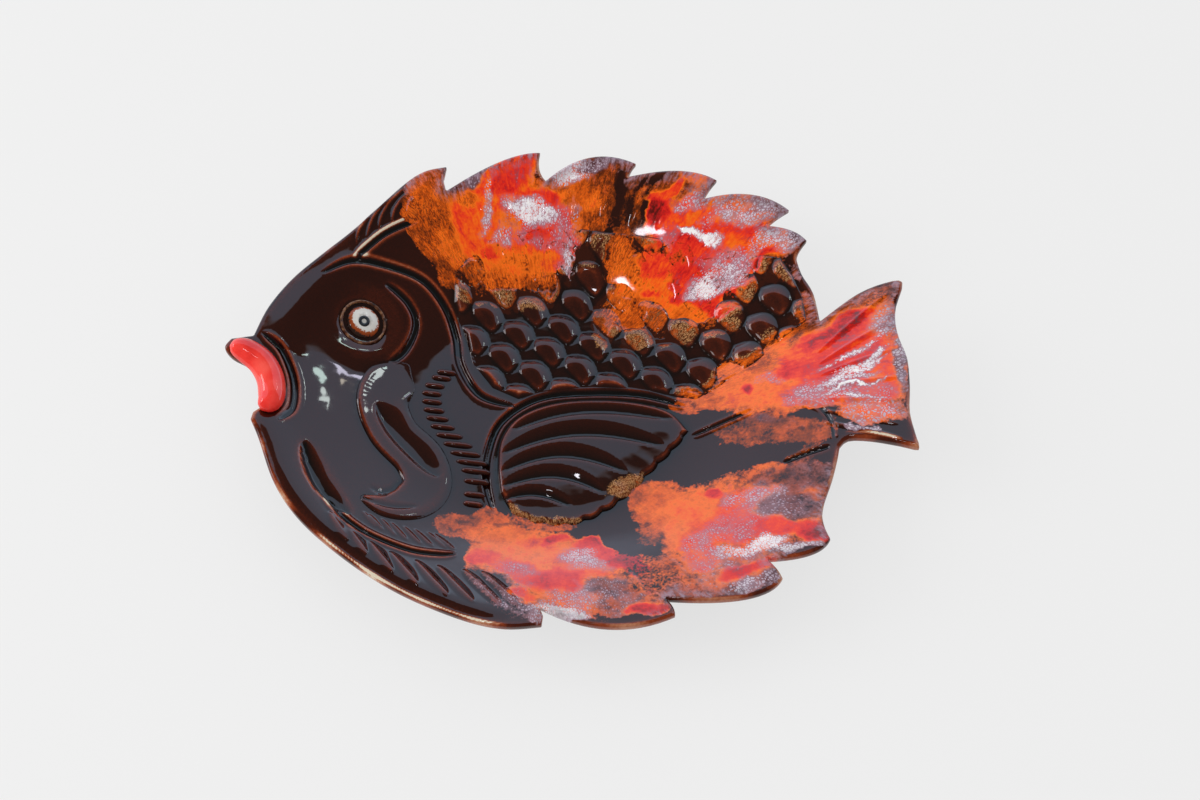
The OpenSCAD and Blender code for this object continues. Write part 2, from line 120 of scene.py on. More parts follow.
def evenly(points, step):
    # the same closed or open line with even steps along it
    seg = np.linalg.norm(np.diff(points, axis=0), axis=1)
    along = np.concatenate([[0], np.cumsum(seg)])
    n = max(int(along[-1] / step), 2)
    at = np.linspace(0, along[-1], n + 1)
    return np.stack([np.interp(at, along, points[:, k]) for k in range(points.shape[1])], -1)


def closed(loop):
    return np.vstack([loop, loop[:1]])


def lineField(points, line, far=12):
    # distance to a line, share of its length reached there, and the side (+ is left);
    # points further off than "far" only get that distance
    order = np.argsort(points[:, 0])
    xs, ys = points[order, 0], points[order, 1]
    best = np.full(len(points), float(far))
    share = np.zeros(len(points))
    side = np.ones(len(points))
    seg = np.diff(line, axis=0)
    size = np.linalg.norm(seg, axis=1)
    run = np.concatenate([[0], np.cumsum(size)])
    for a, ab, length, start in zip(line[:-1], seg, size, run):
        if length == 0:
            continue
        lo = np.searchsorted(xs, min(a[0], a[0] + ab[0]) - far)
        hi = np.searchsorted(xs, max(a[0], a[0] + ab[0]) + far)
        rx, ry = xs[lo:hi] - a[0], ys[lo:hi] - a[1]
        t = np.clip((rx * ab[0] + ry * ab[1]) / length ** 2, 0, 1)
        d = np.hypot(rx - t * ab[0], ry - t * ab[1])
        near = np.flatnonzero(d < best[lo:hi])
        best[lo + near] = d[near]
        share[lo + near] = (start + t[near] * length) / run[-1]
        side[lo + near] = np.sign(ab[0] * ry[near] - ab[1] * rx[near])
    back = np.empty(len(points), int)
    back[order] = np.arange(len(points))
    return best[back], share[back], side[back]


def insideOf(points, loop):
    # even-odd test against a closed loop
    order = np.argsort(points[:, 1])
    xs, ys = points[order, 0], points[order, 1]
    hit = np.zeros(len(points), bool)
    for (ax, ay), (bx, by) in zip(loop, np.roll(loop, -1, axis=0)):
        lo, hi = np.searchsorted(ys, [min(ay, by), max(ay, by)])
        if hi > lo:
            hit[lo:hi] ^= xs[lo:hi] < (bx - ax) * (ys[lo:hi] - ay) / (by - ay) + ax
    out = np.empty(len(points), bool)
    out[order] = hit
    return out


def soften(x):
    x = np.clip(x, 0, 1)
    return x * x * (3 - 2 * x)


def fullness(t, power, least=0.0):
    return np.maximum(least, np.sqrt(np.maximum(1 - np.abs(2 * t - 1) ** power, 0)))


# The outline, from the lower lip along the belly to the tail and back over the back.

outline = dict(
    head=[(-0.98, 0.19), (-0.94, 0.32), (-0.87, 0.45), (-0.78, 0.565), (-0.67, 0.69),
          (-0.52, 0.87), (-0.44, 0.94), (-0.36, 0.965)],
    napeHollow=(-0.37, 0.91),
    # a tooth: notch that it grows from, shoulder, tip, hollow behind the tip
    backTeeth=[((-0.36, 0.87), (-0.155, 1.035), (-0.035, 1.03), (-0.05, 0.96)),
               ((-0.015, 0.92), (0.14, 1.07), (0.3, 0.98), (0.28, 0.955)),
               ((0.275, 0.93), (0.48, 0.975), (0.58, 0.895), (0.55, 0.86)),
               ((0.535, 0.825), (0.72, 0.865), (0.825, 0.745), (0.78, 0.72)),
               ((0.75, 0.69), (0.845, 0.67), (0.88, 0.61), (0.84, 0.56))],
    rump=[(0.845, 0.53), (0.86, 0.47), (0.895, 0.385), (0.912, 0.265)],
    tail=[(0.95, 0.295), (1.04, 0.36), (1.13, 0.395), (1.19, 0.392), (1.163, 0.29),
          (1.157, 0.22), (1.165, 0.15), (1.186, 0.06), (1.187, -0.06), (1.18, -0.17),
          (1.195, -0.28), (1.2, -0.322), (1.14, -0.3), (1.05, -0.268), (0.98, -0.256),
          (0.95, -0.285)],
    belly=[(-0.965, -0.165), (-0.935, -0.24), (-0.88, -0.405), (-0.815, -0.525),
           (-0.727, -0.632), (-0.58, -0.767), (-0.43, -0.875), (-0.245, -0.97),
           (-0.12, -1.003), (-0.006, -0.993)],
    bellyHollow=(-0.002, -0.95),
    bellyTeeth=[((-0.012, -0.915), (0.2, -1.075), (0.407, -0.96), (0.41, -0.925)),
                ((0.384, -0.89), (0.69, -0.94), (0.744, -0.825), (0.735, -0.785)),
                ((0.703, -0.742), (0.87, -0.75), (0.9, -0.672), (0.88, -0.62))],
    vent=[(0.88, -0.57), (0.89, -0.515), (0.92, -0.42), (0.942, -0.33)],
    mouth=[(-0.96, -0.135), (-0.925, -0.09), (-0.924, -0.055), (-0.942, 0), (-0.985, 0.055),
           (-1.04, 0.085), (-1.068, 0.125), (-1.05, 0.165)],
)


def toothed(teeth, last):
    out = []
    for i, (notch, shoulder, tip, hollow) in enumerate(teeth):
        after = teeth[i + 1][0] if i + 1 < len(teeth) else last
        out += bend(notch, shoulder, tip, 16) + bend(tip, hollow, after, 6)
    return out


def outlineLoop(step):
    o = outline
    shares = np.array(
        list(smoothLine(o["belly"], 6)) + [o["bellyHollow"]]
        + toothed(o["bellyTeeth"], o["vent"][0]) + list(smoothLine(o["vent"], 4))
        + list(smoothLine(o["tail"], 3))[::-1] + list(smoothLine(o["rump"], 4))[::-1]
        + toothed(o["backTeeth"], o["rump"][0])[::-1] + [o["napeHollow"]]
        + list(smoothLine(o["head"], 6))[::-1] + list(smoothLine(o["mouth"], 4))[::-1])
    return evenly(closed(place(shares)), step)[:-1]


low, high = (np.array(corner.xy) / mm for corner in cadBox)
rimLine = np.clip(outlineLoop(1.0), low + 0.05, high - 0.05)   # just inside the frame's box
rimClosed = closed(rimLine)


# Relief that is one with the dish.

eye = dict(  # place, then sizes across, widths and heights
    place=(-0.63, 0.325), ring=28, ringWidth=1.8, ringHeight=1.5,
    white=19.5, whiteHeight=2.3, pupil=7, pupilWidth=2.2, pupilHeight=0.9,
    skirt=0.8,   # how far its pieces reach down into the dish
)
grooves = dict(  # line, width, depth, height of the thin lips on both sides
    lip=([(-0.95, 0.2), (-0.89, 0.15), (-0.85, 0.06), (-0.835, -0.02), (-0.84, -0.1),
          (-0.88, -0.16)], 4.4, 1.9, 0.5),
    gill=([(-0.77, 0.48), (-0.68, 0.545), (-0.57, 0.56), (-0.44, 0.53), (-0.36, 0.44),
           (-0.32, 0.32), (-0.3, 0.19), (-0.23, 0.06), (-0.11, 0.01)], 4.4, 1.9, 0.45),
    nape=([(-0.655, 0.555), (-0.64, 0.585), (-0.579, 0.657), (-0.519, 0.704), (-0.45, 0.745)],
          3.6, 1.7, 0.5),
    brow=([(-0.56, 0.49), (-0.525, 0.471), (-0.484, 0.434), (-0.459, 0.382), (-0.461, 0.322),
           (-0.492, 0.239), (-0.54, 0.18)], 4.4, 1.7, 0.25),
    fin=([(-0.17, -0.45), (-0.2, -0.32), (-0.195, -0.18), (-0.15, -0.05), (-0.03, 0.045),
          (0.14, 0.07), (0.32, 0.06), (0.46, 0.01)], 4.2, 1.9, 0.5),
    belly=([(-0.71, -0.455), (-0.66, -0.525), (-0.617, -0.57), (-0.55, -0.615), (-0.43, -0.663),
            (-0.335, -0.67), (-0.285, -0.66)], 3.4, 1.4, 0.8),
    vent=([(0.77, -0.32), (0.83, -0.3), (0.92, -0.28)], 3.4, 1.3, 0.2),
    rear=([(0.481, -0.121), (0.574, -0.087), (0.679, -0.057)], 2.6, 0.8, 0.5),
    lobe=([(0.833, -0.068), (0.889, -0.1), (0.925, -0.165), (0.932, -0.25)], 2.6, 0.9, 0.5),
)
rays = dict(  # root and end of each ray, width, height
    back=([((-0.33, 0.76), (-0.27, 0.91)), ((-0.24, 0.79), (-0.17, 0.965)),
           ((-0.14, 0.8), (-0.08, 0.98)), ((-0.02, 0.79), (0.05, 0.95)),
           ((0.08, 0.79), (0.14, 0.97)), ((0.18, 0.78), (0.24, 0.95)),
           ((0.28, 0.74), (0.35, 0.9)), ((0.37, 0.72), (0.45, 0.91)),
           ((0.45, 0.69), (0.53, 0.87)), ((0.52, 0.63), (0.62, 0.79)),
           ((0.59, 0.59), (0.69, 0.78)), ((0.65, 0.53), (0.77, 0.73))], 6.5, 0.5),
    tail=([((0.9, 0.13), (1.13, 0.34)), ((0.9, 0.08), (1.13, 0.22)),
           ((0.9, 0.03), (1.14, 0.1)), ((0.9, -0.02), (1.15, -0.02)),
           ((0.9, -0.07), (1.14, -0.12)), ((0.9, -0.12), (1.14, -0.22)),
           ((0.9, -0.17), (1.15, -0.28))], 4.6, 1.0),
    belly=([((0.09, -0.78), (0.15, -0.97)), ((0.18, -0.77), (0.25, -0.97)),
            ((0.27, -0.75), (0.34, -0.94)), ((0.4, -0.7), (0.48, -0.87)),
            ((0.48, -0.66), (0.57, -0.87)), ((0.56, -0.62), (0.66, -0.84)),
            ((0.66, -0.56), (0.77, -0.71)), ((0.7, -0.48), (0.83, -0.65))], 6.5, 0.5),
)
napeRays = dict(
    lines=[[(-0.66, 0.615), (-0.655, 0.673), (-0.627, 0.734), (-0.586, 0.799), (-0.53, 0.87)],
           [(-0.626, 0.64), (-0.617, 0.702), (-0.602, 0.747), (-0.572, 0.794), (-0.535, 0.84)],
           [(-0.585, 0.678), (-0.581, 0.734), (-0.56, 0.788), (-0.532, 0.83), (-0.5, 0.866)],
           [(-0.542, 0.71), (-0.537, 0.759), (-0.521, 0.8), (-0.495, 0.84)],
           [(-0.493, 0.735), (-0.486, 0.776), (-0.476, 0.825)]],
    width=3.4, height=1.1,
)
beads = dict(  # the rim rolls over: line, how far in its crest lies, widths on both sides, height
    belly=(outline["belly"][:9], 8.5, 4.2, 11.0, 2.7),
    head=(outline["head"], 15.0, 9.0, 9.0, 2.8),
)
hollows = [  # sunk leaf shapes: line, width, depth
    ([(-0.79, -0.225), (-0.757, -0.32), (-0.71, -0.415), (-0.625, -0.525)], 13.0, 4.6),
    ([(-0.569, -0.372), (-0.543, -0.388), (-0.506, -0.366), (-0.483, -0.322)], 5.0, 1.2),
]
socket = dict(  # a moat round the eye's button and a roll round its ring, by their distance
    moat=11.2, moatWidth=2.6, moatDepth=0.9, roll=19.5, rollWidth=6.5, rollHeight=1.3)
barbs = dict(  # lines on which barbs start and end, how many, width, height
    upper=([(-0.59, -0.5), (-0.48, -0.54), (-0.36, -0.565)],
           [(-0.54, -0.57), (-0.42, -0.62), (-0.29, -0.64)], 8, 4.2, 0.6),
    lower=([(-0.69, -0.53), (-0.53, -0.66), (-0.37, -0.72), (-0.2, -0.745)],
           [(-0.62, -0.66), (-0.44, -0.81), (-0.25, -0.9), (-0.07, -0.92)], 8, 9.5, 1.4),
)


def rayLines():
    out = []
    for pairs, width, height in rays.values():
        out += [(np.array([place(a), place(b)]), width, height) for a, b in pairs]
    for roots, ends, count, width, height in barbs.values():
        r, e = smoothLine(roots, 12), smoothLine(ends, 12)
        for k in range(count):
            i = round(k / (count - 1) * (len(r) - 1))
            out.append((np.array([place(r[i]), place(e[i])]), width, height))
    for line in napeRays["lines"]:
        out.append((smoothLine(place(line), 6), napeRays["width"], napeRays["height"]))
    return out


grooveLines = {n: (smoothLine(place(g[0]), 8), *g[1:]) for n, g in grooves.items()}
allRays = rayLines()


def leaf(points, line, width, depth):
    # scooped out with a gouge: a long slope on the left of the line, a steep bank on its right
    d, t, side = lineField(points, line, 16)
    across = side * d / (width / 2 * np.maximum(fullness(t, 2), 0.06))
    fall = np.clip(np.where(across > -0.55, (1 - across) / 1.55, (1 + across) / 0.45), 0, 1)
    return depth * (0.65 * fall + 0.35 * soften(fall)) * fullness(t, 3)


def rimBeads(points):
    h = np.zeros(len(points))
    for line, inset, outside, inside, height in beads.values():
        d, t, _ = lineField(points, smoothLine(place(line), 8), 45)
        width = np.where(d < inset, outside, inside)
        h += height * fullness(t, 6) * np.exp(-((d - inset) / width) ** 2)
    return h


def bodyRelief(points):
    h = np.zeros(len(points))
    for line, width, depth, lips in grooveLines.values():
        d, t, _ = lineField(points, line)
        full = fullness(t, 8)
        half = width / 2 * np.maximum(full, 0.2)
        h -= depth * full * soften((half * 1.15 - d) / (half * 0.75))
        h += lips * full * np.exp(-((d - half * 1.5) / 1.1) ** 2)
    for line, width, height in allRays:
        d, t, _ = lineField(points, line)
        wide = width * np.maximum(fullness(t, 2), 0.2)
        h += height * fullness(t, 3) * np.cos(np.minimum(d / wide, 0.5) * math.pi) ** 2
    for line, width, depth in hollows:
        h -= leaf(points, smoothLine(place(line), 10), width, depth)
    dx, dy = (points - place(eye["place"])).T
    d = np.hypot(dx, dy)
    h -= socket["moatDepth"] * np.exp(-((d - socket["moat"]) / socket["moatWidth"]) ** 4)
    # the roll round the eye is full at its right and dies out to the left
    right = soften(0.75 + 0.8 * (dx - 0.2 * dy) / np.maximum(d, 1))
    h += socket["rollHeight"] * right * np.exp(-((d - socket["roll"]) / socket["rollWidth"]) ** 2)
    return h


# Shapes of the raised pieces.

flap = dict(  # middle line of the cheek flap, with its width as a share of the half width
    line=[(-0.475, 0.19, 0.06), (-0.515, 0.13, 0.19), (-0.555, 0.02, 0.19),
          (-0.515, -0.11, 0.19), (-0.425, -0.22, 0.19), (-0.395, -0.33, 0.18),
          (-0.44, -0.42, 0.17), (-0.52, -0.455, 0.13), (-0.6, -0.43, 0.07)],
    height=2.2, inner=3.2, outer=7,   # and how wide its two sides round off
    hollows=[([(-0.569, 0.0), (-0.505, -0.082), (-0.42, -0.185), (-0.35, -0.295)], 21.0, 2.4),
             ([(-0.635, -0.4), (-0.564, -0.44), (-0.5, -0.455), (-0.418, -0.442)], 6.0, 1.1)],
)
ribs = dict(
    line=[(-0.38, 0.165), (-0.425, 0.09), (-0.42, 0), (-0.385, -0.09), (-0.325, -0.185),
          (-0.28, -0.28), (-0.275, -0.4)],
    count=16, short=0.07, long=0.11, turn=-8, width=4.2, height=2.0,
)
scales = dict(
    pitch=22, row=18, turn=-34, shift=2.3, start=(-0.12, 0.32),
    ground=1.0, height=1.9,          # of the ground between the scales, and of a scale on it
    top=7.5, side=1.8, back=4.5,     # how wide the top and the sides round off
    buriedFrom=0.82,                 # cover from which a thick glaze hides them
    sink=0.4,                        # how deep the field's edge lies
    crest=2.6,                       # height that counts as the top of a scale
    # one scale in half pitches and half rows: round top, full right side, blunt tip
    shape=[(-1, -0.7), (-0.6, -1.16), (-0.1, -1.42), (0.5, -1.24), (0.97, -0.7), (1.0, -0.2),
           (0.98, 0.25), (0.85, 0.52), (0.6, 0.57), (0.3, 0.5), (0.08, 0.41), (-0.3, 0.28),
           (-0.6, 0.1), (-0.87, -0.28)],
    field=[(-0.33, 0.46), (-0.285, 0.3), (-0.26, 0.2), (-0.19, 0.09), (-0.1, 0.04),
           (-0.03, 0.065), (0.14, 0.09), (0.32, 0.08), (0.5, 0.03), (0.7, 0.14), (0.87, 0.27),
           (0.86, 0.37), (0.83, 0.47), (0.79, 0.55), (0.5, 0.66), (0.3, 0.71), (0, 0.76),
           (-0.22, 0.7), (-0.33, 0.58)],
)
fin = dict(
    upper=[(-0.155, -0.36), (-0.165, -0.25), (-0.155, -0.13), (-0.09, -0.03), (0.05, 0.03),
           (0.24, 0.035), (0.4, -0.01), (0.47, -0.1)],
    lower=[(-0.13, -0.43), (-0.06, -0.475), (0.03, -0.495), (0.13, -0.48), (0.24, -0.4),
           (0.34, -0.28), (0.42, -0.18), (0.462, -0.12)],
    thick=2.4, roundOff=2.6,          # height, and how wide its edge rounds off
    crown=0.3, crownReach=20,         # it swells a little more towards its middle
    scallops=11, scallopDepth=1.6,
    # sunk crescents: root, top of the bow, end, greatest width as a share, depth
    crescents=[((-0.12, -0.1), (0.12, 0.005), (0.42, -0.05), 0.055),
               ((-0.15, -0.2), (0.1, -0.095), (0.385, -0.165), 0.05),
               ((-0.15, -0.275), (0.05, -0.19), (0.26, -0.275), 0.045),
               ((-0.145, -0.335), (0.03, -0.28), (0.19, -0.365), 0.04),
               ((-0.14, -0.39), (-0.03, -0.36), (0.08, -0.42), 0.032)],
    gouge=1.9,
)


def bandLoop(line):
    # closed outline of a band with its own width at each point (x, y, width)
    run = np.gradient(line[:, :2], axis=0)
    run /= np.linalg.norm(run, axis=1)[:, None]
    out = np.stack([-run[:, 1], run[:, 0]], -1) * line[:, 2:3] / 2
    return np.vstack([line[:, :2] - out, (line[:, :2] + out)[::-1]])


def flapLine():
    f = smoothLine(flap["line"], 10)
    line = np.column_stack([place(f), f[:, 2] * halfSize[1]])
    t = np.linspace(0, 1, len(line))
    line[:, 2] *= fullness(t, 5, 0.1)
    return line


def finLoop():
    up = evenly(smoothLine(place(fin["upper"]), 8), 1.0)
    low = evenly(smoothLine(place(fin["lower"]), 8), 0.8)
    t = np.linspace(0, 1, len(low))
    mid = place([0.1, -0.2])
    inward = (mid - low) / np.linalg.norm(mid - low, axis=1)[:, None]
    bite = fin["scallopDepth"] * (1 - np.abs(np.sin(math.pi * t * fin["scallops"])))
    low = low + inward * bite[:, None]
    return np.vstack([low, up[::-1]])


def finRelief(points):
    d, _, _ = lineField(points, closed(finEdge), 22)
    h = fin["thick"] * (1 - (1 - np.clip(d / fin["roundOff"], 0, 1)) ** 2)
    h += fin["crown"] * soften(d / fin["crownReach"])
    for a, top, b, width in fin["crescents"]:
        a, top, b = place(a), place(top), place(b)
        line = np.array(bend(a, 2 * top - (a + b) / 2, b, 24) + [b])
        h -= leaf(points, line, 1.5 * width * halfSize[1], fin["gouge"])
    return h


def flapRelief(points):
    d, _, _ = lineField(points, closed(flapEdge))
    _, t, side = lineField(points, flapMid[:, :2], 30)
    # a soft pillow that grows out of the head at its upper end
    width = np.where(side > 0, flap["outer"], flap["inner"])
    h = flap["height"] * (1 - (1 - np.clip(d / width, 0, 1)) ** 2.2) * soften(0.12 + t / 0.3)
    for line, width, depth in flap["hollows"]:
        h -= leaf(points, smoothLine(place(line), 10), width, depth)
    return h


def sideRise(distance, width):
    return np.sqrt(np.maximum(1 - (1 - np.clip(distance / width, 0, 1)) ** 2, 0))


def scaleRelief(points):
    # every scale stands up steeply at its round top and falls slowly to its tip, and so does
    # the ground between two tips; they sink where the bright glaze lies thick over them
    turn = math.radians(scales["turn"])
    along = np.array([math.cos(turn), math.sin(turn)])
    across = np.array([math.sin(turn), -math.cos(turn)])
    half = np.array([scales["pitch"], scales["row"]]) / 2
    shape = smoothLine(closed(np.array(scales["shape"]) * half), 4)
    rel = points - place(scales["start"])
    h = np.zeros(len(points))
    for k in (0, 1):
        row = np.floor(rel @ across / scales["row"]) + k
        col = (rel @ along - row * scales["shift"]) / scales["pitch"]
        u, v = 2 * (col - np.round(col)), 2 * (rel @ across / scales["row"] - row)
        top = -0.7 - 0.72 * (1 - u * u)   # the round top's line, in half rows
        past = (v - top) * half[1] / np.hypot(1, 1.18 * u)
        rise = 1 - (1 - np.clip(past / scales["top"], 0, 1)) ** 1.35
        q = np.stack([u, v], -1) * half
        d, t, _ = lineField(q, shape)
        # how wide the pillow rounds off, by the share of the way round the shape
        side, back = scales["side"], scales["back"]
        width = np.interp(t, [0, 0.04, 0.38, 0.45, 0.68, 0.76, 0.96, 1],
                          [3, 2, 2, side, side, back, back, 3])
        pillow = scales["height"] * insideOf(q, shape) * sideRise(d, width)
        pillow *= 1 - 0.25 * np.maximum(v + 0.7, 0)
        ground = scales["ground"] * np.clip((1.3 - v) / 2, 0, 1)
        h = np.maximum(h, rise * (ground + pillow))
    cover, _, _ = glazeFields(points)
    buried = soften((cover - scales["buriedFrom"]) / 0.2)
    d, _, _ = lineField(points, closed(scaleEdge))
    return np.minimum(h * (1 - 0.62 * buried) - scales["sink"] * buried,
                      d * (0.9 - 0.65 * buried) - scales["sink"])


def ribLines():
    line = smoothLine(place(ribs["line"]), 12)
    out = []
    turn = math.radians(ribs["turn"])
    for i in range(ribs["count"]):
        t = i / (ribs["count"] - 1)
        root = np.array([np.interp(t, np.linspace(0, 1, len(line)), line[:, k]) for k in (0, 1)])
        size = ribs["short"] + (ribs["long"] - ribs["short"]) * math.sin(math.pi * t * t) ** 2
        out.append((root, root + size * halfSize[0] * np.array([math.cos(turn), math.sin(turn)])))
    return out


finEdge = finLoop()
flapMid = flapLine()
flapEdge = bandLoop(flapMid)
scaleEdge = evenly(closed(place(scales["field"])), 1.0)[:-1]
ribEnds = ribLines()
print("lines drawn:", len(rimLine), "rim points")


# Where the bright glaze lies.

